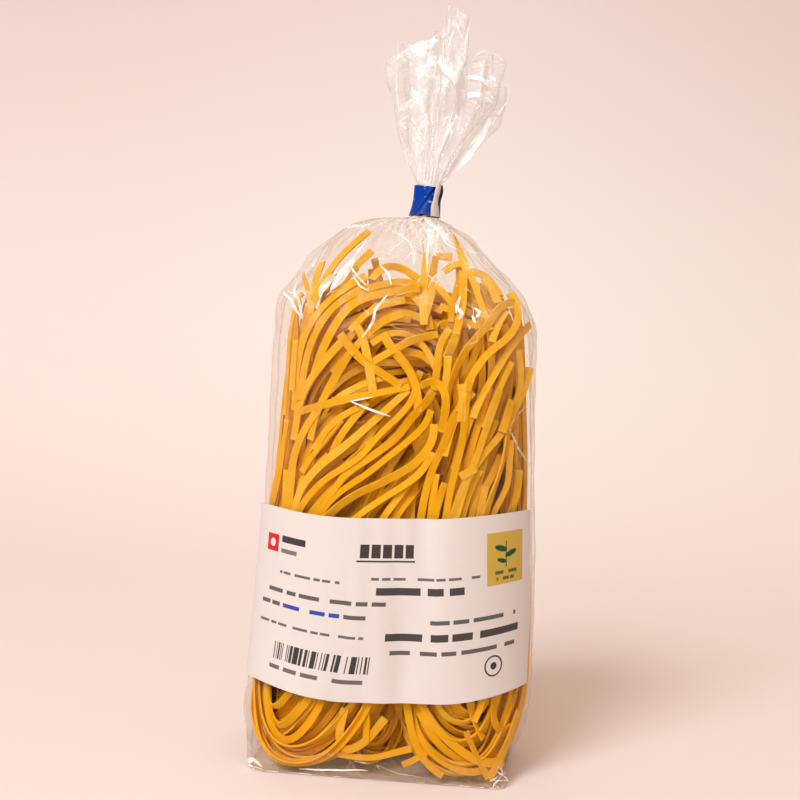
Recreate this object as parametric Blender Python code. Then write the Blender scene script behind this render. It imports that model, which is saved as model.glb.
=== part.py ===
# Upright clear block-bottom bag of pasta, closed at the neck by a strip of tape, with a paper label.
#
# Three solids: the filled film bag, the paper label round its lower front, and the tape on its neck.
# The front faces -Y, the bag stands on z = 0, and the middle of its box is at x = 0, y = 0.
# Sizes are in millimetres here and become metres in mesh_object.

import math

import bpy
import numpy as np

MM = 0.001

# Sizes of the filled body, from the base up to the tape.
# height, left x, right x, front y, back y, corner depth, depth of the pleats
BODY_STATIONS = [
    (0.0, -51.4, 50.2, -30.8, 30.8, 4.0, 0.0),
    (1.2, -52.4, 51.0, -31.8, 31.8, 6.0, 0.0),
    (5.0, -54.0, 51.8, -32.6, 32.6, 11.0, 0.0),
    (12.0, -56.2, 53.6, -33.3, 33.3, 18.0, 0.0),
    (22.0, -58.5, 58.3, -34.0, 34.0, 25.0, 0.0),
    (34.0, -58.5, 60.2, -34.6, 34.4, 30.0, 0.0),
    (60.0, -57.9, 60.1, -35.8, 35.2, 33.0, 0.0),
    (90.0, -56.5, 58.2, -36.6, 35.6, 33.0, 0.0),
    (120.0, -56.1, 56.1, -36.4, 35.4, 32.0, 0.0),
    (150.0, -55.9, 53.9, -35.2, 34.4, 28.0, 0.0),
    (172.0, -55.2, 52.0, -33.2, 32.6, 22.0, 0.1),
    (184.0, -54.3, 49.8, -30.8, 30.4, 16.0, 0.3),
    (189.5, -53.0, 47.6, -28.8, 28.6, 13.0, 0.5),
    (194.5, -48.8, 44.2, -26.6, 26.6, 11.5, 0.7),
    (200.0, -44.6, 38.9, -24.2, 24.2, 11.0, 0.9),
    (206.0, -40.0, 32.4, -21.4, 21.4, 10.0, 1.0),
    (211.5, -36.0, 27.0, -18.4, 18.4, 9.5, 1.1),
    (216.0, -32.2, 23.0, -15.4, 15.4, 9.0, 1.1),
    (219.2, -28.6, 19.2, -12.6, 12.6, 8.0, 1.0),
    (221.6, -24.6, 15.0, -10.0, 10.0, 7.5, 0.9),
    (223.8, -17.4, 11.6, -7.4, 7.4, 6.4, 0.7),
    (225.0, -4.6, 9.0, -5.2, 5.2, 5.1, 0.4),
    (226.2, -2.2, 7.9, -4.5, 4.5, 4.4, 0.2),
    (232.0, -1.6, 8.2, -4.3, 4.3, 4.2, 0.2),
    (238.4, -0.8, 8.5, -4.2, 4.2, 4.1, 0.2),
]

# A rounded corner reaches this much farther along the front than into the depth,
# and it is a little flatter than an ellipse, whose power is 2.
CORNER_STRETCH = 1.22
CORNER_POWER = 1.75

# Columns of points round the bag: along a front or back face, along a side face, and round a corner.
FACE_COLUMNS = 22
SIDE_COLUMNS = 8
CORNER_COLUMNS = 7

# The pasta stands in two bundles, so front and back have a shallow hollow between them.
BUNDLE_GAP_X = 9.0
BUNDLE_GAP_DEPTH = 1.7
BUNDLE_GAP_WIDTH = 7.0
BUNDLE_GAP_FROM_TO = (20.0, 200.0)

# Each side face has the crease of its gusset down its middle.
GUSSET_DEPTH = 2.0
GUSSET_WIDTH = 7.0

# Shallow dents that the film keeps where it spans the pasta.
DENT_DEPTH = 0.5
DENT_PERIODS = (5, 8, 13)

# Pleats gathered under the tape.
PLEATS = 23

# The open tail above the tape: middle of its mouth, and its flaps.
TAIL_FOOT_Z = 238.4
TAIL_FOOT_X = 3.85
TAIL_FOOT_RADIUS = 4.4
TAIL_MOUTH_X = 9.0
TAIL_MOUTH_Y = 0.0
TAIL_RINGS = 15
TAIL_WALL = 1.1
TAIL_FUNNEL_Z = 246.5
# direction seen from above in degrees from +X, reach from the middle of the mouth, height of the rim,
# and the share of the reach that is left in the fold between this flap and the next
TAIL_FLAPS = [
    (-34.0, 17.5, 289.0, 1.0),
    (-8.0, 23.0, 290.5, 0.62),
    (12.0, 26.2, 282.5, 0.66),
    (38.0, 23.0, 298.0, 0.66),
    (72.0, 14.5, 301.0, 0.8),
    (112.0, 15.0, 306.5, 0.72),
    (150.0, 23.8, 300.5, 0.72),
    (183.0, 25.3, 288.5, 1.0),
    (216.0, 17.6, 292.5, 0.97),
    (246.0, 12.4, 298.0, 0.62),
    (264.0, 14.4, 309.0, 0.95),
    (298.0, 15.0, 306.0, 0.5),
]

# The paper label: its edges, tilt and thickness, how far it lies off the film,
# and how many columns of the bag it passes on the left side face and on the right corner.
LABEL_FOOT_Z = 32.0
LABEL_HEIGHT = 73.5
LABEL_TILT = math.radians(2.9)
LABEL_THICK = 0.4
LABEL_GAP = 0.6
LABEL_ROWS = 9
LABEL_SIDE_COLUMNS = 2
LABEL_CORNER_COLUMNS = 5

# The tape: a strip wound once round the neck, whose free end is turned out at the right.
TIE_FOOT_Z = 226.4
TIE_TOP_Z = 238.2
TIE_FOOT = (2.85, 6.65, 5.75)
TIE_TOP = (3.85, 5.95, 5.35)
TIE_THICK = 0.55
TIE_COLUMNS = 48
TIE_END_ANGLE = math.radians(-38.0)
TIE_END_LENGTH = 3.4
TIE_END_TURN = math.radians(62.0)


def smooth_steps(keys, values, x):
    """Monotone cubic through the stations, so that no edge or overshoot shows between them."""
    keys = np.asarray(keys, float)
    values = np.asarray(values, float)
    slopes = np.diff(values) / np.diff(keys)
    tangents = np.empty_like(values)
    tangents[0] = slopes[0]
    tangents[-1] = slopes[-1]
    for i in range(1, len(values) - 1):
        if slopes[i - 1] * slopes[i] <= 0:
            tangents[i] = 0.0
        else:
            tangents[i] = 2 * slopes[i - 1] * slopes[i] / (slopes[i - 1] + slopes[i])
    i = int(np.clip(np.searchsorted(keys, x) - 1, 0, len(keys) - 2))
    width = keys[i + 1] - keys[i]
    t = (x - keys[i]) / width
    return (
        (2 * t**3 - 3 * t**2 + 1) * values[i]
        + (t**3 - 2 * t**2 + t) * width * tangents[i]
        + (-2 * t**3 + 3 * t**2) * values[i + 1]
        + (t**3 - t**2) * width * tangents[i + 1]
    )


def body_section(z):
    """Left, right, front, back, corner depth and pleat depth of the body at this height."""
    table = np.array(BODY_STATIONS)
    return [smooth_steps(table[:, 0], table[:, k], z) for k in range(1, 7)]


def columns():
    """Each column as (sx, sy, angle, share): place on the straight parts, direction out, share of the way round."""
    found = []
    corners = [(1, -1, -90.0), (1, 1, 0.0), (-1, 1, 90.0), (-1, -1, 180.0)]
    straights = [
        (FACE_COLUMNS, -90.0, lambda t: (t, -1.0)),
        (SIDE_COLUMNS, 0.0, lambda t: (1.0, t)),
        (FACE_COLUMNS, 90.0, lambda t: (-t, 1.0)),
        (SIDE_COLUMNS, 180.0, lambda t: (-1.0, -t)),
    ]
    for (count, angle, place), (sx, sy, start) in zip(straights, corners):
        for i in range(count):
            x, y = place(-1 + 2 * i / count)
            found.append((x, y, math.radians(angle)))
        for i in range(CORNER_COLUMNS):
            found.append((sx, sy, math.radians(start + 90.0 * i / CORNER_COLUMNS)))
    total = len(found)
    return [(x, y, angle, i / total) for i, (x, y, angle) in enumerate(found)]


def bell(x, width):
    return math.exp(-((x / width) ** 2))


def rise(x, low, high):
    t = min(max((x - low) / (high - low), 0.0), 1.0)
    return t * t * (3 - 2 * t)


def body_point(sx, sy, angle, share, z, extra=0.0):
    """A point of the filled body, moved outwards by extra."""
    left, right, front, back, corner, pleat = body_section(z)
    deep = min(corner, (back - front) / 2 - 0.02)
    wide = min(corner * CORNER_STRETCH, (right - left) / 2 - 0.02)
    mid_x = (left + right) / 2
    mid_y = (front + back) / 2
    out_x = math.cos(angle)
    out_y = math.sin(angle)
    power = 2 + (CORNER_POWER - 2) * rise(corner, 6, 24)
    bend_x = math.copysign(abs(out_x) ** (2 / power), out_x)
    bend_y = math.copysign(abs(out_y) ** (2 / power), out_y)
    x = mid_x + sx * ((right - left) / 2 - wide) + wide * bend_x
    y = mid_y + sy * ((back - front) / 2 - deep) + deep * bend_y
    low, high = BUNDLE_GAP_FROM_TO
    filled = rise(z, low, low + 30) * (1 - rise(z, high - 25, high))
    move = -BUNDLE_GAP_DEPTH * filled * bell(x - BUNDLE_GAP_X, BUNDLE_GAP_WIDTH) * abs(out_y)
    gusset = rise(z, 4, 40) * (1 - rise(z, 196, 214))
    move -= GUSSET_DEPTH * gusset * bell(y, GUSSET_WIDTH) * out_x**2
    dents = sum(
        math.sin(2 * math.pi * (count * share + z / (55 + 9 * count)) + 1.7 * count)
        for count in DENT_PERIODS
    )
    move += DENT_DEPTH / 3 * dents * rise(z, 8, 30) * (1 - rise(z, 180, 205))
    wave = math.cos(2 * math.pi * PLEATS * share + 0.8 * math.sin(6 * math.pi * share))
    move += pleat * (wave - 0.3) * (0.8 + 0.2 * math.sin(10 * math.pi * share))
    move += extra
    return x + move * out_x, y + move * out_y, z


def tail_flap_values(angle):
    """Reach and rim height of the tail in this direction: crests at the flaps, folds between them."""
    degrees = (math.degrees(angle) - TAIL_FLAPS[0][0]) % 360.0 + TAIL_FLAPS[0][0]
    closing = (TAIL_FLAPS[0][0] + 360.0, *TAIL_FLAPS[0][1:])
    for here, after in zip(TAIL_FLAPS, TAIL_FLAPS[1:] + [closing]):
        if here[0] <= degrees <= after[0]:
            t = (degrees - here[0]) / (after[0] - here[0])
            reach = here[1] + (after[1] - here[1]) * rise(t, 0.1, 0.9)
            top = here[2] + (after[2] - here[2]) * rise(t, 0.2, 0.8)
            fold = (1 - here[3]) * math.sin(math.pi * t) ** 2
            return reach * (1 - fold), top - 6.0 * fold
    return TAIL_FLAPS[0][1:3]


def tail_point(angle, step, inward=0.0):
    """A point of the tail film, step 0 at the tape and 1 at the rim."""
    reach, top = tail_flap_values(angle)
    opening = math.sin(math.pi / 2 * min(step, 1.0)) ** 1.05
    radius = TAIL_FOOT_RADIUS + (reach - TAIL_FOOT_RADIUS) * opening - inward
    drift = rise(step, 0.0, 0.75)
    mid_x = TAIL_FOOT_X + (TAIL_MOUTH_X - TAIL_FOOT_X) * drift
    mid_y = TAIL_MOUTH_Y * drift
    z = TAIL_FOOT_Z + (top - TAIL_FOOT_Z) * step
    return mid_x + radius * math.cos(angle), mid_y + radius * math.sin(angle), z


def mesh_object(name, points, faces, colour, roughness):
    mesh = bpy.data.meshes.new(name)
    mesh.from_pydata([tuple(c * MM for c in p) for p in points], [], faces)
    mesh.update()
    obj = bpy.data.objects.new(name, mesh)
    bpy.context.scene.collection.objects.link(obj)
    material = bpy.data.materials.new(name)
    material.use_nodes = True
    shader = material.node_tree.nodes["Principled BSDF"]
    shader.inputs["Base Color"].default_value = (*colour, 1.0)
    shader.inputs["Roughness"].default_value = roughness
    material.diffuse_color = (*colour, 1.0)
    mesh.materials.append(material)
    return obj


def ring_faces(first, second, count):
    """Quads between two rings of the same number of points."""
    return [
        (first + i, first + (i + 1) % count, second + (i + 1) % count, second + i)
        for i in range(count)
    ]


def cap_faces(first, count, centre, up):
    pairs = [(first + i, first + (i + 1) % count) for i in range(count)]
    return [(a, b, centre) if up else (b, a, centre) for a, b in pairs]


def make_bag():
    around = columns()
    count = len(around)
    heights = [0.0, 1.2, 5.0, 12.0, 20.0, 30.0, 42.0, 55.0, 70.0, 86.0, 102.0, 118.0, 134.0, 150.0, 163.0]
    heights += [174.0, 182.0, 186.5, 190.0, 194.5, 200.0, 205.5, 211.0, 215.5, 219.0, 221.6, 223.8, 225.0]
    heights += [226.2, 232.0]
    points = []
    rings = []
    for z in heights:
        rings.append(len(points))
        points += [body_point(*column, z) for column in around]
    # The neck's last ring and the tail above it run in even directions, so columns turn to them here.
    angles = [column_direction(column, count) for column in around]
    for k in range(TAIL_RINGS + 1):
        rings.append(len(points))
        points += [tail_point(angle, k / TAIL_RINGS) for angle in angles]
    # The film turns over at the rim and runs back down inside, to a funnel above the tape.
    inner_steps = [1.0, 0.86, 0.7, 0.54, 0.4, 0.28]
    for k, step in enumerate(inner_steps):
        rings.append(len(points))
        points += [tail_point(angle, step, TAIL_WALL * (1.0 + 0.15 * k)) for angle in angles]
    faces = []
    for first, second in zip(rings, rings[1:]):
        faces += ring_faces(first, second, count)
    points.append(((BODY_STATIONS[0][1] + BODY_STATIONS[0][2]) / 2, 0.0, 0.0))
    faces += cap_faces(rings[0], count, len(points) - 1, False)
    points.append((TAIL_FOOT_X + 0.8, 0.0, TAIL_FUNNEL_Z))
    faces += cap_faces(rings[-1], count, len(points) - 1, True)
    return mesh_object("bag", points, faces, (0.80, 0.52, 0.20), 0.25)


def column_direction(column, count):
    """The direction from the neck's axis of a column, spread evenly from the middle of the front."""
    share = column[3] - (FACE_COLUMNS / 2) / count
    return -math.pi / 2 + 2 * math.pi * share


def label_path():
    """The bag's columns that the label covers, from its left end to its right end."""
    around = columns()
    first = -(LABEL_SIDE_COLUMNS + CORNER_COLUMNS)
    last = FACE_COLUMNS + LABEL_CORNER_COLUMNS
    return [around[i % len(around)] for i in range(first, last + 1)]


def make_label():
    path = label_path()
    points = []
    for side in (LABEL_GAP, LABEL_GAP + LABEL_THICK):
        for row in range(LABEL_ROWS + 1):
            for sx, sy, angle, share in path:
                z = LABEL_FOOT_Z + LABEL_HEIGHT * row / LABEL_ROWS
                x = body_point(sx, sy, angle, share, z)[0]
                z += x * math.tan(LABEL_TILT)
                points.append(body_point(sx, sy, angle, share, z, side))
    width = len(path)
    layer = width * (LABEL_ROWS + 1)
    faces = []
    for row in range(LABEL_ROWS):
        for i in range(width - 1):
            a = row * width + i
            faces.append((a, a + width, a + width + 1, a + 1))
            faces.append((layer + a, layer + a + 1, layer + a + width + 1, layer + a + width))
    for i in range(width - 1):
        top = LABEL_ROWS * width + i
        faces.append((i, i + 1, layer + i + 1, layer + i))
        faces.append((top + 1, top, layer + top, layer + top + 1))
    for row in range(LABEL_ROWS):
        left = row * width
        right = left + width - 1
        faces.append((left + width, left, layer + left, layer + left + width))
        faces.append((right, right + width, layer + right + width, layer + right))
    return mesh_object("label", points, faces, (0.90, 0.86, 0.82), 0.55)


def make_tie():
    """A closed band with a short free end, made of levels of one closed outline."""
    levels = 4
    outlines = []
    for k in range(levels + 1):
        level = k / levels
        mid_x, half_x, half_y = (a + (b - a) * level for a, b in zip(TIE_FOOT, TIE_TOP))
        outer = []
        inner = []
        for i in range(TIE_COLUMNS):
            angle = 2 * math.pi * i / TIE_COLUMNS
            ripple = 0.10 * math.sin(5 * angle + 4 * level)
            for line, cut in ((outer, 0.0), (inner, TIE_THICK)):
                x = mid_x + (half_x - cut + ripple) * math.cos(angle)
                y = (half_y - cut + ripple) * math.sin(angle)
                line.append((x, y, TIE_FOOT_Z + (TIE_TOP_Z - TIE_FOOT_Z) * level))
        outlines.append((outer, inner))
    # The free end leaves the band between these two columns of the outer outline.
    slot = round((TIE_END_ANGLE % (2 * math.pi)) / (2 * math.pi) * TIE_COLUMNS)
    points = []
    outer_rings = []
    inner_rings = []
    for k, (outer, inner) in enumerate(outlines):
        level = k / levels
        foot = np.array(outer[slot])
        away = TIE_END_ANGLE + TIE_END_TURN
        reach = TIE_END_LENGTH * (1.0 - 0.35 * level)
        tip = foot + np.array([math.cos(away), math.sin(away), 0.0]) * reach
        side = np.array([-math.sin(away), math.cos(away), 0.0]) * TIE_THICK * 0.5
        ring = []
        for i in range(TIE_COLUMNS):
            ring.append(tuple(outer[i]))
            if i == slot:
                ring.append(tuple(tip - side))
                ring.append(tuple(tip + side))
        outer_rings.append(len(points))
        points += ring
        inner_rings.append(len(points))
        points += inner
    outer_count = TIE_COLUMNS + 2
    faces = []
    for k in range(levels):
        faces += ring_faces(outer_rings[k], outer_rings[k + 1], outer_count)
        faces += ring_faces(inner_rings[k + 1], inner_rings[k], TIE_COLUMNS)
    for k, up in ((0, False), (levels, True)):
        outside = outer_rings[k]
        inside = inner_rings[k]
        for i in range(TIE_COLUMNS):
            j = (i + 1) % TIE_COLUMNS
            oi = outside + i + (2 if i > slot else 0)
            oj = outside + j + (2 if j > slot else 0)
            quad = (oi, oj, inside + j, inside + i)
            if i == slot:
                start = outside + slot
                quad = (start + 2, oj, inside + j, inside + i, start)
                tab = (start, start + 1, start + 2)
                faces.append(tab if up else tab[::-1])
            faces.append(quad if up else quad[::-1])
    return mesh_object("tie", points, faces, (0.004, 0.09, 0.34), 0.35)


def centre_on_axis(objects):
    """Moves all solids together, so that the middle of their box stands over the origin."""
    corners = np.array([v.co for obj in objects for v in obj.data.vertices])
    middle = (corners.min(axis=0) + corners.max(axis=0)) / 2
    for obj in objects:
        for vertex in obj.data.vertices:
            vertex.co.x -= middle[0]
            vertex.co.y -= middle[1]
        obj.data.update()


def main():
    for obj in list(bpy.data.objects):
        bpy.data.objects.remove(obj, do_unlink=True)
    centre_on_axis([make_bag(), make_label(), make_tie()])


main()
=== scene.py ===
# %% [markdown]
# # A clear bag of long pasta
#
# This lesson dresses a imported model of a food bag: clear film folded into a flat base, filled with
# folded hanks of flat pasta, gathered under a strip of tape, and labelled round its lower front.
#
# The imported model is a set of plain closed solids. It was built first because it fixes every size.
# It is loaded here as a fixed frame, and each piece below is made in the same place, in the same
# units, so nothing has to be moved to fit.

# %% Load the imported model
import math

import bpy
import numpy as np
from mathutils import Matrix, Vector


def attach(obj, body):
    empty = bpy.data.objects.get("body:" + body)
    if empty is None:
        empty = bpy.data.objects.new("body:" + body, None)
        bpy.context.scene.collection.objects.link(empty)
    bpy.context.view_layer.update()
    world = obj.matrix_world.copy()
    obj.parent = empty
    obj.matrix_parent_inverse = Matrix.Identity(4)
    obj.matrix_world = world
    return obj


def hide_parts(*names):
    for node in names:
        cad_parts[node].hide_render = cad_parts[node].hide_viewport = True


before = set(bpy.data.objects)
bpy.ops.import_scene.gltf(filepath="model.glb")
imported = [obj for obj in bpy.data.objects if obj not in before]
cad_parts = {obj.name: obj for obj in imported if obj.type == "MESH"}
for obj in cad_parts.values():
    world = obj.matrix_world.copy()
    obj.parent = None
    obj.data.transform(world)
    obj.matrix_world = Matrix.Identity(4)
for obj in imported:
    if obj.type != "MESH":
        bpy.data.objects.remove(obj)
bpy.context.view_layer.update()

MM = 0.001

# %% [markdown]
# ## Sizes of the filled bag
#
# A filled bag has no simple formula, yet it has only a few sizes at each height: how far it reaches
# left, right, forwards and back, and how round its corners are. A short table of stations holds
# those, and a smooth curve through each column gives any height between. The film, the label and
# the pasta all ask the same table, which is why they fit each other.

# %% The stations of the body
# height, left x, right x, front y, back y, corner depth, depth of the pleats, in mm
BODY_STATIONS = np.array([
    (0.0, -51.4, 50.2, -30.8, 30.8, 4.0, 0.0),
    (1.2, -52.4, 51.0, -31.8, 31.8, 6.0, 0.0),
    (5.0, -54.0, 51.8, -32.6, 32.6, 11.0, 0.0),
    (12.0, -56.2, 53.6, -33.3, 33.3, 18.0, 0.0),
    (22.0, -58.5, 58.3, -34.0, 34.0, 25.0, 0.0),
    (34.0, -58.5, 60.2, -34.6, 34.4, 30.0, 0.0),
    (60.0, -57.9, 60.1, -35.8, 35.2, 33.0, 0.0),
    (90.0, -56.5, 58.2, -36.6, 35.6, 33.0, 0.0),
    (120.0, -56.1, 56.1, -36.4, 35.4, 32.0, 0.0),
    (150.0, -55.9, 53.9, -35.2, 34.4, 28.0, 0.0),
    (172.0, -55.2, 52.0, -33.2, 32.6, 22.0, 0.1),
    (184.0, -54.3, 49.8, -30.8, 30.4, 16.0, 0.3),
    (189.5, -53.0, 47.6, -28.8, 28.6, 13.0, 0.5),
    (194.5, -48.8, 44.2, -26.6, 26.6, 11.5, 0.7),
    (200.0, -44.6, 38.9, -24.2, 24.2, 11.0, 0.9),
    (206.0, -40.0, 32.4, -21.4, 21.4, 10.0, 1.0),
    (211.5, -36.0, 27.0, -18.4, 18.4, 9.5, 1.1),
    (216.0, -32.2, 23.0, -15.4, 15.4, 9.0, 1.1),
    (219.2, -28.6, 19.2, -12.6, 12.6, 8.0, 1.0),
    (221.6, -24.6, 15.0, -10.0, 10.0, 7.5, 0.9),
    (223.8, -17.4, 11.6, -7.4, 7.4, 6.4, 0.7),
    (225.0, -4.6, 9.0, -5.2, 5.2, 5.1, 0.4),
    (226.2, -2.2, 7.9, -4.5, 4.5, 4.4, 0.2),
    (232.0, -1.6, 8.2, -4.3, 4.3, 4.2, 0.2),
    (238.4, -0.8, 8.5, -4.2, 4.2, 4.1, 0.2),
])
CORNER_STRETCH = 1.22
CORNER_POWER = 1.75
BUNDLE_GAP = dict(x=9.0, depth=1.7, width=7.0)
GUSSET = dict(depth=2.0, width=7.0)
DENT_DEPTH = 0.5
DENT_PERIODS = (5, 8, 13)
PLEATS = 23
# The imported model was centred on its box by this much, so every piece here is too.
CENTRED = np.array([-0.32, 1.15, 0.0])

# %% [markdown]
# ## Curves through the stations
#
# The curve has to pass each station without swinging past it, or the bag would show rings. A
# monotone cubic does that: its slope at a station is the harmonic mean of the slopes beside it.
# All functions work on whole arrays, because the film has tens of thousands of points.


# %% Small shape functions
def rise(x, low, high):
    """0 below low, 1 above high, smooth between."""
    t = np.clip((np.asarray(x, float) - low) / (high - low), 0, 1)
    return t * t * (3 - 2 * t)


def bell(x, width):
    """1 at 0, falling to 0 on both sides."""
    return np.exp(-((np.asarray(x) / width) ** 2))


def ease(values, times):
    """Smooths a line in place and keeps its two ends."""
    for _ in range(times):
        values[1:-1] = (values[:-2] + 2 * values[1:-1] + values[2:]) / 4


def curve_through(keys, values, x):
    """Monotone cubic through (keys, values), read at every x."""
    keys, values = np.asarray(keys, float), np.asarray(values, float)
    slope = np.diff(values) / np.diff(keys)
    before, after = slope[:-1], slope[1:]
    same_way = before * after > 0
    inner = np.where(same_way, 2 * before * after / np.where(same_way, before + after, 1), 0)
    tangent = np.concatenate([[slope[0]], inner, [slope[-1]]])
    i = np.clip(np.searchsorted(keys, x) - 1, 0, len(keys) - 2)
    width = keys[i + 1] - keys[i]
    t = (x - keys[i]) / width
    return ((2 * t**3 - 3 * t**2 + 1) * values[i] + (t**3 - 2 * t**2 + t) * width * tangent[i]
            + (3 * t**2 - 2 * t**3) * values[i + 1] + (t**3 - t**2) * width * tangent[i + 1])


def body_section(z):
    """Left, right, front, back, corner depth and pleat depth at each height."""
    z = np.asarray(z, float)
    return [curve_through(BODY_STATIONS[:, 0], BODY_STATIONS[:, k], z) for k in range(1, 7)]


print("width at the label in mm", float(np.round(body_section(70)[1] - body_section(70)[0], 1)))

# %% [markdown]
# ## Round the bag
#
# A place round the bag is one number, counted in columns from the left end of the front: 22 columns
# along the front, 7 round a corner, 8 along a side, and so on. A corner keeps its own columns from
# the base to the neck, which is how a real bag's edges run up into its pleats.

# %% A point of the film at any place and height
FRONT, CORNER, SIDE = 22, 7, 8
AROUND = 2 * (FRONT + SIDE) + 4 * CORNER


def place_round(column):
    """Place on the straight parts in x and y, direction out, and share of the way round."""
    c = np.asarray(column, float) % AROUND
    sx, sy, angle = np.zeros_like(c), np.zeros_like(c), np.zeros_like(c)
    start = 0.0
    for quarter, (cx, cy) in enumerate([(1, -1), (1, 1), (-1, 1), (-1, -1)]):
        length = FRONT if quarter % 2 == 0 else SIDE
        turn = math.radians(-90 + 90 * quarter)
        on = (c >= start) & (c < start + length)
        along = -1 + 2 * (c - start) / length
        ex, ey = [(along, -1), (1, along), (-along, 1), (-1, -along)][quarter]
        sx, sy, angle = np.where(on, ex, sx), np.where(on, ey, sy), np.where(on, turn, angle)
        start += length
        on = (c >= start) & (c < start + CORNER)
        bend = turn + math.pi / 2 * (c - start) / CORNER
        sx, sy, angle = np.where(on, cx, sx), np.where(on, cy, sy), np.where(on, bend, angle)
        start += CORNER
    return sx, sy, angle, c / AROUND


def signed_power(x, power):
    return np.sign(x) * np.abs(x) ** power


def film_point(column, z, extra=0.0):
    """Points of the filled body, moved outwards by extra mm."""
    sx, sy, angle, share = place_round(column)
    left, right, front, back, corner, pleat = body_section(z)
    deep = np.minimum(corner, (back - front) / 2 - 0.02)
    wide = np.minimum(corner * CORNER_STRETCH, (right - left) / 2 - 0.02)
    out_x, out_y = np.cos(angle), np.sin(angle)
    power = 2 + (CORNER_POWER - 2) * rise(corner, 6, 24)
    x = (left + right) / 2 + sx * ((right - left) / 2 - wide) + wide * signed_power(out_x, 2 / power)
    y = (front + back) / 2 + sy * ((back - front) / 2 - deep) + deep * signed_power(out_y, 2 / power)
    filled = rise(z, 20, 50) * (1 - rise(z, 175, 200))
    move = -BUNDLE_GAP["depth"] * filled * bell(x - BUNDLE_GAP["x"], BUNDLE_GAP["width"]) * np.abs(out_y)
    gusset = rise(z, 4, 40) * (1 - rise(z, 196, 214))
    move = move - GUSSET["depth"] * gusset * bell(y, GUSSET["width"]) * out_x**2
    dents = sum(np.sin(2 * np.pi * (n * share + z / (55 + 9 * n)) + 1.7 * n) for n in DENT_PERIODS)
    move = move + DENT_DEPTH / 3 * dents * rise(z, 8, 30) * (1 - rise(z, 180, 205))
    wave = np.cos(2 * np.pi * PLEATS * share + 0.8 * np.sin(6 * np.pi * share))
    move = move + pleat * (wave - 0.3) * (0.8 + 0.2 * np.sin(10 * np.pi * share)) + extra
    return np.stack([x + move * out_x, y + move * out_y, z + 0 * x], -1)


print("front of the film at mid height", np.round(film_point(FRONT / 2, 100.0), 1))

# %% [markdown]
# ## Meshes from arrays
#
# Pieces of this size are quickest to make from arrays of points and faces. One function does it for
# all of them: it converts millimetres to metres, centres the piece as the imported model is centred,
# names it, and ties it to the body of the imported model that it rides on.


# %% Make a piece from points and faces
def piece(name, points, faces, material, node=None, slot=None, sharp=None):
    """points in mm. sharp: the angle in degrees above which an edge is shaded as an edge."""
    mesh = bpy.data.meshes.new(name)
    faces = faces.tolist() if isinstance(faces, np.ndarray) else faces
    mesh.from_pydata((np.asarray(points, float) + CENTRED) * MM, [], faces)
    mesh.polygons.foreach_set("use_smooth", [True] * len(mesh.polygons))
    if sharp:
        mesh.set_sharp_from_angle(angle=math.radians(sharp))
    mesh.materials.append(material)
    mesh.update()
    made = bpy.data.objects.new(name, mesh)
    bpy.context.scene.collection.objects.link(made)
    if slot:
        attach(made, "root")
    if node:
        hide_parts(node)
    triangles = sum(len(p.vertices) - 2 for p in mesh.polygons)
    print(f"{name}: {len(mesh.vertices)} points, {triangles} triangles")
    return made


def grid_faces(rows, columns, closed=False):
    """Quads of a sheet of rows x columns points, whose last column meets the first if closed."""
    steps = columns if closed else columns - 1
    r, c = np.meshgrid(np.arange(rows - 1), np.arange(steps), indexing="ij")
    a = (r * columns + c).ravel()
    b = (r * columns + (c + 1) % columns).ravel()
    return np.stack([a, b, b + columns, a + columns], 1)


def sheet_rim(rows, columns):
    """The points round the edge of a sheet, in order, for closing a sheet that has thickness."""
    foot, end = list(range(columns)), columns - 1
    right = [r * columns + end for r in range(1, rows)]
    top = [(rows - 1) * columns + k for k in range(columns - 2, -1, -1)]
    left = [r * columns for r in range(rows - 2, 0, -1)]
    return foot + right + top + left


def add_values(made, name, values):
    """One number at each point of a piece, for its finish to read."""
    layer = made.data.attributes.new(name, "FLOAT", "POINT")
    layer.data.foreach_set("value", np.asarray(values, np.float32).ravel())


# %% [markdown]
# ## The camera
#
# The photograph was taken from in front at the height of the upper part of the bag, a little to its
# right, with the camera turned by a few degrees about its own axis, so that the bag leans. These
# seven numbers came from matching the corners of the base, the label and the shoulders.

# %% Place the camera
CAMERA = dict(azimuth=2.0, roll=3.7, pitch=1.6, distance=487.0, height=163.0, aim_x=-2.35,
              focal_pixels=1168.0)
FRAME_PIXELS = 800
SENSOR = 36.0


def place_camera(azimuth, roll, pitch, distance, height, aim_x, focal_pixels):
    """A camera turned round the bag, about its own axis and downwards, all in degrees."""
    a, r, p = (math.radians(v) for v in (azimuth, roll, pitch))
    across = Vector((math.cos(a), math.sin(a), 0))
    ahead = Vector((-math.sin(a), math.cos(a), 0))
    upright = Vector((0, 0, 1))
    look = ahead * math.cos(p) - upright * math.sin(p)
    up = upright * math.cos(p) + ahead * math.sin(p)
    right_edge = across * math.cos(r) + up * math.sin(r)
    top_edge = up * math.cos(r) - across * math.sin(r)
    data = bpy.data.cameras.new("camera")
    data.sensor_width = SENSOR
    data.lens = focal_pixels * SENSOR / FRAME_PIXELS
    made = bpy.data.objects.new("camera", data)
    place = Vector((aim_x, 0, height)) - ahead * distance + Vector(CENTRED)
    made.matrix_world = Matrix((
        (right_edge.x, top_edge.x, -look.x, place.x * MM),
        (right_edge.y, top_edge.y, -look.y, place.y * MM),
        (right_edge.z, top_edge.z, -look.z, place.z * MM),
        (0, 0, 0, 1),
    ))
    bpy.context.scene.collection.objects.link(made)
    bpy.context.scene.camera = made
    return made


camera = place_camera(**CAMERA)
print("lens in mm", round(camera.data.lens, 1))

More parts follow.
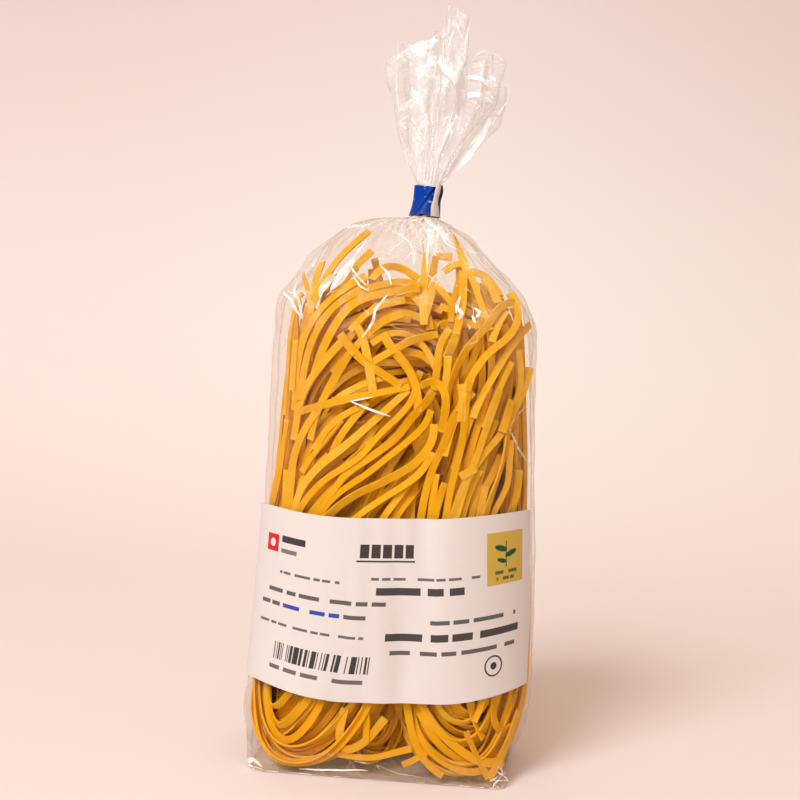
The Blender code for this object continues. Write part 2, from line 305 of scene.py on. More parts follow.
# %% [markdown]
# ## Shader maths as expressions
#
# A procedural material is arithmetic on patterns. Wrapping a socket in a small class lets that
# arithmetic be written as it is read: `1 - mask` adds a Math node that subtracts. Numbers go through
# Math nodes, while colours are blended by Mix nodes, because a Math node would turn them grey.


# %% A socket that can be reckoned with
class Value:
    def __init__(self, tree, socket):
        self.tree, self.socket = tree, socket

    def join(self, operation, *others):
        return self.tree.add("ShaderNodeMath", dict(operation=operation), [self, *others])

    def __add__(self, other): return self.join("ADD", other)
    def __sub__(self, other): return self.join("SUBTRACT", other)
    def __mul__(self, other): return self.join("MULTIPLY", other)
    def __truediv__(self, other): return self.join("DIVIDE", other)
    def __pow__(self, other): return self.join("POWER", other)

    def __rsub__(self, other):
        return self.tree.add("ShaderNodeMath", dict(operation="SUBTRACT"), [other, self])

    __radd__, __rmul__ = __add__, __mul__

    def above(self, other): return self.join("GREATER_THAN", other)
    def below(self, other): return self.join("LESS_THAN", other)
    def either(self, other): return self.join("MAXIMUM", other)
    def both(self, other): return self.join("MINIMUM", other)
    def part(self): return self.join("FRACT")
    def floor(self): return self.join("FLOOR")

    def steps(self, low, high):
        """0 below low, 1 above high, smooth between."""
        inputs = {"Value": self, "From Min": low, "From Max": high}
        return self.tree.add("ShaderNodeMapRange", dict(interpolation_type="SMOOTHSTEP"), inputs)


class Finish:
    """One material. Its nodes are added by name, with their settings and their sockets' values."""

    def __init__(self, name, world=False):
        self.material = (bpy.data.worlds if world else bpy.data.materials).new(name)
        self.material.use_nodes = True
        self.nodes = self.material.node_tree.nodes
        self.nodes.clear()
        self.out = self.nodes.new("ShaderNodeOutputWorld" if world else "ShaderNodeOutputMaterial")

    def add(self, kind, settings=None, inputs=None, output=0):
        node = self.nodes.new(kind)
        for key, value in (settings or {}).items():
            if key == "stops":
                self.set_stops(node, value)
            else:
                setattr(node, key, value)
        pairs = enumerate(inputs) if isinstance(inputs, (list, tuple)) else (inputs or {}).items()
        for key, value in pairs:
            socket = node.inputs[key]
            if isinstance(value, Value):
                self.material.node_tree.links.new(value.socket, socket)
            elif (hasattr(socket.default_value, "__len__")
                  and len(value) == 3 and len(socket.default_value) == 4):
                socket.default_value = (*value, 1)
            else:
                socket.default_value = value
        return Value(self, node.outputs[output])

    def set_stops(self, node, stops):
        ramp = node.color_ramp
        while len(ramp.elements) < len(stops):
            ramp.elements.new(0.5)
        for element, (place, colour) in zip(ramp.elements, stops):
            element.position, element.color = place, (*colour, 1)

    def blend(self, factor, first, second):
        """A colour between two others, by a Mix node."""
        node = self.nodes.new("ShaderNodeMix")
        node.data_type = "RGBA"
        for place, value in ((0, factor), (6, first), (7, second)):
            socket = node.inputs[place]
            if isinstance(value, Value):
                self.material.node_tree.links.new(value.socket, socket)
            else:
                socket.default_value = value if isinstance(value, (int, float)) else (*value, 1)
        return Value(self, node.outputs[2])

    def attribute(self, name, output=2):
        return self.add("ShaderNodeAttribute", dict(attribute_name=name), output=output)

    def place(self):
        """Place on the piece, in metres from the middle of its foot."""
        return self.add("ShaderNodeTexCoord", output=3)

    def height(self):
        return self.add("ShaderNodeSeparateXYZ", None, [self.place()], output=2)

    def noise(self, scale, detail=2.0, roughness=0.5):
        inputs = {"Vector": self.place(), "Scale": scale, "Detail": detail, "Roughness": roughness}
        return self.add("ShaderNodeTexNoise", dict(noise_dimensions="3D"), inputs)

    def bump(self, height, strength, distance):
        inputs = {"Height": height, "Strength": strength, "Distance": distance}
        return self.add("ShaderNodeBump", None, inputs)

    def principled(self, **inputs):
        named = {key.replace("_", " "): value for key, value in inputs.items()}
        return self.add("ShaderNodeBsdfPrincipled", None, named)

    def finish(self, shader):
        self.material.node_tree.links.new(shader.socket, self.out.inputs["Surface"])
        return self.material


# %% [markdown]
# ## Pasta
#
# Dried egg pasta is a matt gold, paler along cut ends, and painted shade deepens it low in the bag.
# Each ribbon carries a random tone as an attribute of its points, so no two neighbours are quite
# alike, and the same attribute carries painted light that pales the ribbons high in the bag. Two
# noises, one broad and one small, mottle it, and a fine grain stands for the rough surface that the
# dies leave.
# The colours are ordered on a ramp, which is easier to tune than separate red and green.

# %% The pasta's finish
# From the deepest to the palest tone, then the pale specks and the painted shade near the base.
PASTA_TONES = [
    (0.0, (0.76, 0.338, 0.002)),
    (0.35, (0.79, 0.386, 0.004)),
    (0.65, (0.82, 0.440, 0.018)),
    (1.0, (0.86, 0.530, 0.088)),
]
PASTA_SPECK = (0.94, 0.58, 0.09)
PASTA_PAINTED_SHADE = (0.70, 0.31, 0.008)


def pasta_finish():
    f = Finish("pasta")
    # The tone attribute: a random tone for each ribbon, with painted light that pales the ribbons high in
    # the bag.
    tone = f.attribute("tone")
    cloud = f.noise(70.0, 3.0, 0.6)
    grain = f.noise(1600.0, 2.0, 0.7)
    mottle = f.noise(330.0, 2.0, 0.55)
    mix = tone * 0.56 + cloud * 0.24 + mottle.steps(0.3, 0.7) * 0.20
    colour = f.add("ShaderNodeValToRGB", dict(stops=PASTA_TONES), {"Fac": mix})
    colour = f.blend(grain.steps(0.62, 0.78) * 0.25, colour, PASTA_SPECK)
    # Painted shade: the pasta is darker towards the base, below about 45 mm.
    colour = f.blend(0.45 * (1 - f.height().steps(0.005, 0.045)), colour, PASTA_PAINTED_SHADE)
    return f.finish(f.principled(
        Base_Color=colour, Roughness=0.55 + 0.18 * grain, Specular_IOR_Level=0.05,
        Normal=f.bump(grain + cloud * 0.6, 0.35, 0.0003)))


PASTA = pasta_finish()

# %% [markdown]
# ## Film
#
# The film is far thinner than anything that can be modelled as a wall, so it is a single surface.
# Light mostly passes straight through, a little is mirrored, and more is mirrored where the film is
# seen at a slant. A Mix Shader between Transparent and Glossy says exactly that, and it costs far
# less to render than real refraction. Random cells give the crumple: each small facet catches the
# light at an angle of its own, and some of its borders show as fine lines of painted highlight. A
# second Mix Shader adds a white veil. Where the film is creased, that veil is the film's own
# whitening together with painted sheen; where the film is seen at a slant, it turns grey as painted
# reflection; close to the base it takes the pasta's colour, as painted reflection of the pasta.


# %% The film's finish
# Painted reflection: the pasta's colour in the film near the base, and the grey of film seen at a slant.
BASE_PAINTED_PASTA_REFLECTION = (0.66, 0.42, 0.13)
FILM_SLANT_PAINTED_REFLECTION = (0.52, 0.46, 0.44)


def crackle(f, scale):
    """Random cells: how far a place is from its cell's border, and a random value for each cell."""
    where = {"Vector": f.place(), "Scale": scale}
    kind = "ShaderNodeTexVoronoi"
    border = f.add(kind, dict(voronoi_dimensions="3D", feature="DISTANCE_TO_EDGE"), where)
    colour = f.add(kind, dict(voronoi_dimensions="3D", feature="F1"), where, output=1)
    return border, f.add("ShaderNodeSeparateXYZ", None, [colour])


def film_finish(name, tint, veil_colour, haze_and_sheen, crease_white_and_sheen, glare, border_highlights, cell_size):
    """haze_and_sheen: white all over, haze and painted sheen. crease_white_and_sheen: how much the milk
    attribute adds. border_highlights: painted highlight on cell borders. cell_size in metres.
    """
    f = Finish(name)
    clear = f.add("ShaderNodeBsdfTransparent", None, {"Color": tint})
    slant = f.add("ShaderNodeLayerWeight", None, {"Blend": 0.5}, output=1)
    border, chance = crackle(f, 1 / cell_size)
    fine_border, _ = crackle(f, 2.7 / cell_size)
    crumpled = f.bump(border + fine_border * 0.3, 0.55, 0.16 * cell_size)
    gloss = {"Color": (1, 1, 1), "Roughness": 0.07, "Normal": crumpled}
    mirror = f.add("ShaderNodeBsdfGlossy", None, gloss)
    see = f.add("ShaderNodeMixShader", None, [glare + 0.5 * slant ** 4.0, clear, mirror])
    # Painted reflection: below about 16 mm the veil takes the pasta's colour.
    white = f.blend(0.8 * (1 - f.height().steps(0.004, 0.016)), veil_colour, BASE_PAINTED_PASTA_REFLECTION)
    # Painted reflection: film seen at a slant turns grey.
    white = f.blend(slant ** 3.0, white, FILM_SLANT_PAINTED_REFLECTION)
    veil = f.principled(Base_Color=white, Roughness=0.3, Specular_IOR_Level=0.3, Normal=crumpled)
    milk = f.attribute("milk")
    cloud = f.noise(60.0, 3.0, 0.6)
    # Painted highlight: fine white lines along some cell borders.
    sharp = (1 - border.steps(0.0, 0.035)) * chance
    sharp = sharp + (1 - fine_border.steps(0.0, 0.05)) * cloud.steps(0.5, 0.7)
    amount = haze_and_sheen * (0.5 + chance) + crease_white_and_sheen * milk * (0.2 + 0.6 * chance + 0.7 * cloud)
    # Painted reflection: the last term whitens film seen at a slant.
    amount = amount + border_highlights * sharp * (milk + 0.02) + 0.42 * slant ** 6.0
    return f.finish(f.add("ShaderNodeMixShader", None, [amount.both(0.92), see, veil]))


FILM_BODY = film_finish(
    "film_body", tint=(0.958, 0.934, 0.904), veil_colour=(0.955, 0.90, 0.79), haze_and_sheen=0.0,
    crease_white_and_sheen=0.42, glare=0.006, border_highlights=0.5, cell_size=0.010)
FILM_TAIL = film_finish(
    "film_tail", tint=(0.966, 0.962, 0.957), veil_colour=(0.96, 0.95, 0.94), haze_and_sheen=0.16,
    crease_white_and_sheen=0.6, glare=0.05, border_highlights=0.5, cell_size=0.008)
CREASE_CELL = 0.0032


def crease_highlight_finish():
    """Painted highlight along creases, with the film's own whitening: white, but broken up by cells, so
    that a crease sparkles in places and fades in others.
    """
    f = Finish("film_crease_highlight")
    see = f.add("ShaderNodeBsdfTransparent", None, {"Color": (1, 1, 1)})
    colour = f.blend(f.noise(400.0), (0.93, 0.95, 0.97), (0.98, 0.985, 0.99))
    white = f.principled(Base_Color=colour, Roughness=0.2, Specular_IOR_Level=0.6)
    _, chance = crackle(f, 1 / CREASE_CELL)
    amount = f.attribute("milk") * 1.5 - 0.42 + 0.8 * (chance - 0.5)
    return f.finish(f.add("ShaderNodeMixShader", None, [amount.both(0.97), see, white]))


CREASE_HIGHLIGHT = crease_highlight_finish()

# %% [markdown]
# ## The film round the pasta
#
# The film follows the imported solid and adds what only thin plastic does: sharp radial creases under
# the tape, long soft folds down the front, and short crisp kinks where it is pulled over a corner.
# The creases are ridges, so they use the distance from a moving line rather than a sine wave.

# %% The body of the film
FILM_COLUMNS = AROUND * 4
FILM_ROWS = 232
FILM_TOP = 232.0
BASE_MIDDLE = (-0.6, 0.0, 0.0)
# Flat facets: folds round the bag, folds per mm of height, depth in mm, start
BODY_FACETS = [
    (7, 1 / 61, 1.0, 0.12), (-11, 1 / 43, 0.8, 0.41), (13, -1 / 95, 0.6, 0.73), (3, 1 / 23, 0.55, 0.22),
    (-19, 1 / 31, 0.4, 0.95), (23, -1 / 19, 0.3, 0.53), (5, 1 / 13, 0.25, 0.35), (-29, 1 / 50, 0.22, 0.81),
]


def fold(phase):
    """A row of sharp folds, from -1 to 1, flat between its creases."""
    return 4 * np.abs((phase % 1.0) - 0.5) - 1


def facets(share, height, waves):
    """Folds in several directions added up, which makes flat facets between sharp edges."""
    return sum(deep * fold(count * share + rate * height + start) for count, rate, deep, start in waves)


def near_column(column, centre, width):
    """1 at one column round the bag, falling to 0 on both sides of it."""
    return bell((column - centre + AROUND / 2) % AROUND - AROUND / 2, width)


def film_creases(column, z):
    """How far the creases move the film, and how white it is there: whitening and painted sheen."""
    share = column / AROUND
    shoulder = rise(z, 158, 192) * (1 - rise(z, 214, 224))
    crumpled = facets(share, z, BODY_FACETS)
    move = crumpled * (0.22 * rise(z, 2, 12) + 0.62 * shoulder) * (1 - rise(z, 218, 226)) + 0.7 * shoulder
    wander = 0.3 * np.sin(z / 7.0 + 9 * share) + 0.2 * np.sin(z / 3.1 + 31 * share)
    radial = fold(29 * share + wander) + 0.6 * fold(47 * share - 0.8 * wander + z / 40)
    move = move + 0.42 * radial * rise(z, 190, 216) * (1 - 0.8 * rise(z, 221, 226))
    base = rise(z, 0.2, 2) * (1 - rise(z, 4, 14))
    move = move + 0.35 * base * fold(31 * share + z / 11)
    # The white: under the tape, the gathered film's own whitening and painted sheen; where the film stands
    # loose over the shoulders and where it turns at the two front edges, painted reflection of the pale
    # room; near the base, painted reflection of the pasta.
    neck = rise(z, 214, 224) * (0.30 + 0.30 * radial)
    neck = neck + 0.55 * near_column(column, 12.5, 7.0) * rise(z, 204, 222)
    loose = 0.20 * shoulder * np.clip(0.3 + crumpled / 3, 0, 1)
    left = 0.15 * near_column(column, -5.5, 3.6) * rise(z, 95, 160)
    right = 0.10 * near_column(column, 27.0, 3.0) * rise(z, 60, 120)
    milk = np.clip(neck, 0, 1) + loose + left + right + 0.42 * (1 - rise(z, 4, 13))
    return move, np.clip(milk, 0, 1)


def film_surface(column, z, extra=0.0):
    return film_point(column, z, film_creases(np.asarray(column, float), z)[0] + extra)


def make_film_body():
    level = np.linspace(0, 1, FILM_ROWS)
    z = FILM_TOP * (0.62 * level + 0.38 * rise(level, 0, 1))
    column = np.linspace(0, AROUND, FILM_COLUMNS, endpoint=False)
    c, h = np.meshgrid(column, z)
    points = film_surface(c, h).reshape(-1, 3)
    faces = grid_faces(FILM_ROWS, FILM_COLUMNS, closed=True).tolist()
    foot = len(points)
    points = np.vstack([points, [BASE_MIDDLE]])
    faces += [[(i + 1) % FILM_COLUMNS, i, foot] for i in range(FILM_COLUMNS)]
    made = piece("film_body", points, faces, FILM_BODY, node="bag", slot="bag", sharp=50)
    add_values(made, "milk", np.append(film_creases(c, h)[1].ravel(), 0.2))


make_film_body()

# %% [markdown]
# ## The open tail
#
# Above the tape the film fans out into flaps with an open mouth. Each flap has a direction, a reach
# and a height of its rim, and between two flaps the film runs back in to a fold. The same list is in
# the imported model, where the film is a thick wall. Here it is a single sheet with finer creases.

# %% The tail of the film
TAIL_FOOT = dict(x=3.85, z=238.4, radius=4.4)
TAIL_MOUTH_X = 9.0
# direction from above in degrees, reach, rim height, share of the reach left in the next fold
TAIL_FLAPS = [
    (-34.0, 17.5, 289.0, 1.0),
    (-8.0, 23.0, 290.5, 0.62),
    (12.0, 26.2, 282.5, 0.66),
    (38.0, 23.0, 298.0, 0.66),
    (72.0, 14.5, 301.0, 0.8),
    (112.0, 15.0, 306.5, 0.72),
    (150.0, 23.8, 300.5, 0.72),
    (183.0, 25.3, 288.5, 1.0),
    (216.0, 17.6, 292.5, 0.97),
    (246.0, 12.4, 298.0, 0.62),
    (264.0, 14.4, 309.0, 0.95),
    (298.0, 15.0, 306.0, 0.5),
]
TAIL_COLUMNS, TAIL_ROWS = 360, 90


def flap_values(degrees):
    """Reach and rim height of the tail in each direction."""
    first = TAIL_FLAPS[0][0]
    d = (np.asarray(degrees, float) - first) % 360 + first
    reach, top = np.zeros_like(d), np.zeros_like(d)
    closing = (first + 360, *TAIL_FLAPS[0][1:])
    for here, after in zip(TAIL_FLAPS, TAIL_FLAPS[1:] + [closing]):
        on = (d >= here[0]) & (d <= after[0])
        t = (d - here[0]) / (after[0] - here[0])
        fold = (1 - here[3]) * np.sin(np.pi * np.clip(t, 0, 1)) ** 2
        reach = np.where(on, (here[1] + (after[1] - here[1]) * rise(t, 0.1, 0.9)) * (1 - fold), reach)
        top = np.where(on, here[2] + (after[2] - here[2]) * rise(t, 0.2, 0.8) - 6.0 * fold, top)
    return reach, top


TAIL_FACETS = [
    (3, 1.3, 1.0, 0.15), (-5, 2.1, 0.9, 0.62), (7, -1.1, 0.8, 0.31), (4, 3.3, 0.55, 0.9),
    (-9, 2.7, 0.5, 0.47), (12, -3.9, 0.35, 0.05), (-17, 1.9, 0.3, 0.7), (2, 5.7, 0.3, 0.4),
]


def tail_surface(angle, step, extra=0.0):
    """Points of the tail in a direction in degrees, at a share of the way up to its rim."""
    angle, step = np.asarray(angle, float) % 360, np.asarray(step, float)
    reach, top = flap_values(angle)
    up = np.clip(step, 0, 1)
    share = angle / 360
    crumpled = facets(share, up, TAIL_FACETS)
    pleats = fold(23 * share + 0.3 * np.sin(9 * up)) * (1 - rise(up, 0.1, 0.6))
    move = 0.75 * crumpled * rise(up, 0.03, 0.35) + 0.35 * pleats * rise(up, 0, 0.06)
    move = move * (0.6 + 0.4 * (1 - up))
    radius = TAIL_FOOT["radius"] + (reach - TAIL_FOOT["radius"]) * np.sin(np.pi / 2 * up) ** 1.05
    radius = radius + move + extra - 0.4 * rise(-step, 0, 0.1)
    turn = np.radians(angle)
    mid = TAIL_FOOT["x"] + (TAIL_MOUTH_X - TAIL_FOOT["x"]) * rise(up, 0, 0.75)
    z = TAIL_FOOT["z"] + (top - TAIL_FOOT["z"]) * step
    return np.stack([mid + radius * np.cos(turn), radius * np.sin(turn), z], -1)


def make_film_tail():
    step, angle = np.meshgrid(np.linspace(-0.14, 1, TAIL_ROWS),
                              np.linspace(0, 360, TAIL_COLUMNS, endpoint=False), indexing="ij")
    points = tail_surface(angle, step).reshape(-1, 3)
    faces = grid_faces(TAIL_ROWS, TAIL_COLUMNS, closed=True)
    made = piece("film_tail", points, faces, FILM_TAIL, node="bag", slot="bag", sharp=50)
    up = np.clip(step, 0, 1)
    crumpled = facets(angle / 360, up, TAIL_FACETS)
    milk = 0.5 * (1 - rise(up, 0, 0.3)) + 0.35 * np.clip(crumpled / 2, 0, 1)
    add_values(made, "milk", np.clip(milk, 0, 1))


make_film_tail()

# %% [markdown]
# ## White creases with painted highlights
#
# Where cellophane is folded sharply it stays a little white, and a fold that faces the lamp shines.
# Each white strip here is that whitening together with painted highlight, and that thin line is what
# tells the eye it is film. A mesh fine enough to hold such lines everywhere would be very heavy. So
# each crease is a slim tapered strip of its own, laid on the film and drawn in the film's own
# coordinates, which keeps it on the surface wherever the facets have moved it.


# %% Strips laid on the film
class Creases:
    def __init__(self):
        self.points, self.faces, self.milk = [], [], []

    def add(self, line, out, width, strength):
        """line: points on the film. width: the strip's full width at each point."""
        n = len(line)
        along = np.gradient(line, axis=0)
        side = np.cross(along, out)
        side /= np.linalg.norm(side, axis=1)[:, None] + 1e-9
        half = np.broadcast_to(width, (n,))[:, None] / 2
        base = sum(len(p) for p in self.points)
        self.points.append(np.stack([line - side * half, line + side * half], 1).reshape(-1, 3))
        self.faces += (grid_faces(n, 2) + base).tolist()
        self.milk.append(np.full(2 * n, strength))

    def make(self, name):
        made = piece(name, np.vstack(self.points), self.faces, CREASE_HIGHLIGHT, node="bag", slot="bag")
        add_values(made, "milk", np.concatenate(self.milk))


def through(stations, count):
    """Straight runs between the stations, as a crease has, in count even steps."""
    p = np.asarray(stations, float)
    length = np.concatenate([[0], np.cumsum(np.linalg.norm(np.diff(p, axis=0), axis=1))])
    t = np.linspace(0, length[-1], count)
    return np.stack([np.interp(t, length, p[:, k]) for k in range(p.shape[1])], 1)


def taper(count, blunt=0.15):
    t = np.linspace(0, 1, count)
    return blunt + (1 - blunt) * np.sin(np.pi * t) ** 0.7


def outwards(angle):
    """Directions level with the floor, from angles in radians."""
    return np.stack([np.cos(angle), np.sin(angle), 0 * angle], 1)


def body_crease(creases, stations, width, strength, step=1.5):
    """stations: column and height."""
    travel = np.abs(np.diff(np.asarray(stations, float), axis=0)).sum()
    p = through(stations, max(4, int(travel * 2 / step)))
    line = film_surface(p[:, 0], p[:, 1], 0.15)
    angle = place_round(p[:, 0])[2]
    creases.add(line, outwards(angle), width * taper(len(line)), strength)


FRONT_COLUMNS = np.linspace(-8, FRONT + 8, 200)
LOWEST = 0.3


def front_crease(creases, stations, width, strength):
    """stations: x and height on the front, turned into columns."""
    placed = []
    for x, z in stations:
        z = max(z, LOWEST)
        xs = film_point(FRONT_COLUMNS, np.full(len(FRONT_COLUMNS), z))[:, 0]
        on = slice(int(np.argmin(xs)), int(np.argmax(xs)) + 1)
        placed.append((float(np.interp(x, xs[on], FRONT_COLUMNS[on])), z))
    body_crease(creases, placed, width, strength)


# A turn of this many degrees counts as much as the tail's whole height when a line is divided.
TAIL_TURN = 30


def tail_crease(creases, stations, width, strength, count=14):
    """stations: direction in degrees and share of the way up."""
    p = through(np.asarray(stations, float) * (1 / TAIL_TURN, 1), count) * (TAIL_TURN, 1)
    line = tail_surface(p[:, 0], p[:, 1], 0.12)
    creases.add(line, outwards(np.radians(p[:, 0])), width * taper(count), strength)


# %% [markdown]
# ## The body's creases
#
# The creases that the eye goes to are listed one by one: the folds over the left shoulder, the fan
# under the tape, and the crumpled edge of the base. The rest, all round the shoulders and at the
# base's corners, come from seeded random draws, so the bag is as lively behind as in front.

# %% The creases that catch the light, painted white
# x and height along the crease, width in mm, and how white it is, as painted highlight
FRONT_CREASE_HIGHLIGHTS = [
    ([(-49.5, 191), (-46, 187), (-41.0, 179.5)], 1.3, 0.85),
    ([(-44.5, 194), (-43, 187), (-40.6, 179.8)], 1.3, 0.8),
    ([(-47.5, 190), (-42.5, 189)], 0.5, 0.7),
    ([(-28, 193), (-24.5, 202)], 0.8, 0.5),
    ([(-23.4, 198.4), (-20, 193.8), (-16.7, 192.2)], 0.7, 0.9),
    ([(-13.1, 203), (-9.2, 199.6), (-7.7, 195)], 0.9, 0.8),
    ([(-8.5, 191.5), (-11.1, 187.8), (-13.3, 184.7), (-13.5, 180.7), (-15.2, 177.2),
      (-17.5, 173.6)], 1.1, 0.85),
    ([(-4.3, 143.8), (-12.5, 146), (-20.4, 148.6)], 0.9, 0.95),
    ([(-20.4, 148.6), (-11.8, 150.8)], 0.6, 0.85),
    ([(-18.4, 140.8), (-14.2, 141.2)], 1.4, 0.45),
    ([(19, 187.6), (20.8, 185), (19.4, 183)], 1.5, 0.8),
    ([(24.6, 185), (26, 182)], 1.2, 0.7),
    ([(44.5, 172.4), (50.3, 167.3), (51.3, 162.4)], 0.45, 0.5),
    ([(51.2, 155.3), (46.2, 148.2), (42, 142.2)], 0.5, 0.5),
    ([(42, 142.2), (46.2, 134.3), (49.7, 129.8), (52.4, 126)], 1.1, 0.6),
    ([(-1.3, 217), (0, 206), (0.3, 196.7)], 0.35, 0.45),
    ([(-16.1, 204.8), (-7.3, 206.4), (-1.6, 211)], 0.5, 0.55),
    ([(-4.1, 204.6), (0.3, 211.2), (6, 216)], 0.6, 0.6),
    ([(-8.3, 218.2), (-1.8, 213.2), (0.6, 208)], 0.6, 0.6),
    ([(-53.2, 0.5), (-50, 4), (-46.2, 2.2)], 2.0, 0.75),
    ([(-53, 1), (-48.5, 1.6), (-45.5, 1.2)], 0.9, 0.7),
    ([(-31.6, 2.6), (-18.9, 3.2), (-9.5, 4), (-4.4, 4.4)], 0.75, 0.95),
    ([(-53.6, 0.4), (-41, 0.6), (-26, 0.6), (-12, 0.4)], 0.45, 0.6),
    ([(-6, 0.4), (14, 0.6), (30, 0.6), (50, 0.4)], 0.4, 0.5),
    ([(-22.5, 10.4), (-12.9, 7.9), (-1.8, 7), (3.1, 3)], 0.45, 0.4),
    ([(-1.8, 7), (7.8, 3.9), (18.9, 2.8)], 0.4, 0.35),
    ([(45, 0.8), (49.6, 5.9)], 0.8, 0.75),
    ([(46.3, 6.6), (50.6, 0.6)], 0.7, 0.75),
    ([(44.8, 3.9), (50.9, 2.5)], 0.6, 0.7),
    ([(47.7, 10.5), (48.9, 3.4)], 0.5, 0.6),
    ([(43.3, 3.2), (47.9, 5.6)], 0.5, 0.6),
    ([(5.8, 223.9), (5.8, 218.4), (6.7, 212.4)], 3.2, 0.75),
    ([(7.8, 224.6), (9.8, 219.7), (12.1, 215.3)], 2.4, 0.75),
    ([(9.8, 224.8), (13.4, 221.1), (15.9, 218.8)], 1.6, 0.7),
    ([(3.8, 223.8), (2.2, 218.6), (-0.3, 213.9)], 1.8, 0.55),
    ([(6.7, 222.3), (8.4, 216.0), (9.2, 210.8)], 2.0, 0.6),
    ([(5.7, 214.9), (5.4, 208.0), (5.9, 200.6)], 0.9, 0.8),
    ([(1.7, 223.6), (-2.7, 219.1), (-6.9, 215.6)], 1.2, 0.5),
    ([(0.1, 223.9), (-7.5, 221.5), (-13.6, 218.3)], 1.0, 0.5),
    ([(-2.0, 224.1), (-10.8, 222.2), (-20.2, 218.8)], 0.8, 0.5),
    ([(11.9, 224.4), (16.1, 223.6), (19.6, 221.1)], 1.0, 0.6),
    ([(13.3, 222.4), (12.0, 217.1), (15.1, 212.8)], 0.7, 0.7),
    ([(3.2, 221.0), (0.3, 211.4), (0.4, 199.7)], 0.4, 0.5),
    ([(9.9, 217.9), (13.0, 213.6), (17.6, 211.3)], 0.6, 0.7),
    ([(5.9, 200.6), (9.7, 197.2), (13.8, 194.5)], 0.5, 0.6),
    ([(11.0, 201.7), (8.0, 198.3), (6.7, 194.9)], 0.6, 0.7),
    ([(-1.4, 217.8), (-7.3, 211.3), (-11.7, 206.8)], 0.4, 0.5),
    ([(-15.7, 206.9), (-8.8, 210.8), (-1.1, 214.3)], 0.35, 0.5),
    ([(13.3, 203.5), (10.3, 199.7), (7.3, 197.0)], 0.35, 0.6),
    ([(16.7, 212.9), (23.2, 211.0), (29.1, 209.5)], 0.4, 0.55),
    ([(-28.9, 217.8), (-24.4, 219.1), (-17.9, 219.9)], 1.2, 0.6),
    ([(-23.9, 201.0), (-21.2, 197.5), (-17.3, 194.1)], 0.8, 0.85),
    ([(25.2, 187.9), (27.6, 186.5), (26.2, 184.0)], 1.5, 0.8),
    ([(19.5, 192.4), (18.5, 188.7), (18.3, 185.5)], 1.4, 0.8),
    ([(-18.7, 213.1), (-22.2, 207.8), (-24.9, 203.4)], 1.0, 0.7),
    ([(-23.1, 205.2), (-27.9, 197.5), (-31.3, 191.6)], 3.6, 0.8),
    ([(-30.0, 199.0), (-33.5, 193.9), (-34.9, 188.5)], 3.0, 0.75),
    ([(26.4, 214.9), (33.2, 208.0), (39.3, 199.7)], 0.5, 0.5),
    ([(20.0, 219.7), (27.3, 214.5), (33.8, 205.5)], 0.4, 0.4),
    ([(42.9, 194.3), (45.9, 188.9), (48.4, 183.5)], 0.7, 0.5),
    ([(44.8, 172.9), (47.1, 170.7), (49.2, 166.9)], 0.5, 0.6),
]


NECK = 226.0


def make_creases():
    pick = np.random.default_rng(7)
    creases = Creases()
    for stations, width, strength in FRONT_CREASE_HIGHLIGHTS:
        front_crease(creases, stations, width, strength)
    for _ in range(64):
        c, low = pick.uniform(0, AROUND), NECK - 4 - 16 * pick.random() ** 2.2
        drift = pick.normal(0, 1.3, 2)
        stations = [(c, NECK), (c + drift[0], (NECK + low) / 2), (c + drift.sum(), low)]
        body_crease(creases, stations, pick.uniform(0.15, 0.55), pick.uniform(0.15, 0.6))
    for _ in range(90):
        c, z = pick.uniform(0, AROUND), pick.uniform(172, 222)
        turn, length = pick.uniform(0, 2 * np.pi), pick.uniform(3, 12)
        kink = pick.normal(0, 0.6)
        a = (c + math.cos(turn) * length / 4, z + math.sin(turn) * length / 2)
        b = (a[0] + math.cos(turn + kink) * length / 4, a[1] + math.sin(turn + kink) * length / 2)
        if max(a[1], b[1]) < NECK - 1:
            body_crease(creases, [(c, z), a, b], pick.uniform(0.15, 0.5), pick.uniform(0.25, 0.7))
    half = CORNER / 2
    behind = FRONT + CORNER + SIDE
    for corner in (-half, FRONT + half, behind + half, behind + CORNER + FRONT + half):
        for _ in range(5):
            c, z = corner + pick.normal(0, 2), pick.uniform(1, 9)
            end = max(0.5, z + pick.normal(0, 4))
            body_crease(creases, [(c, z), (c + pick.normal(0, 1.2), end)], 0.5, pick.uniform(0.3, 0.6))
    creases.make("film_creases")


make_creases()
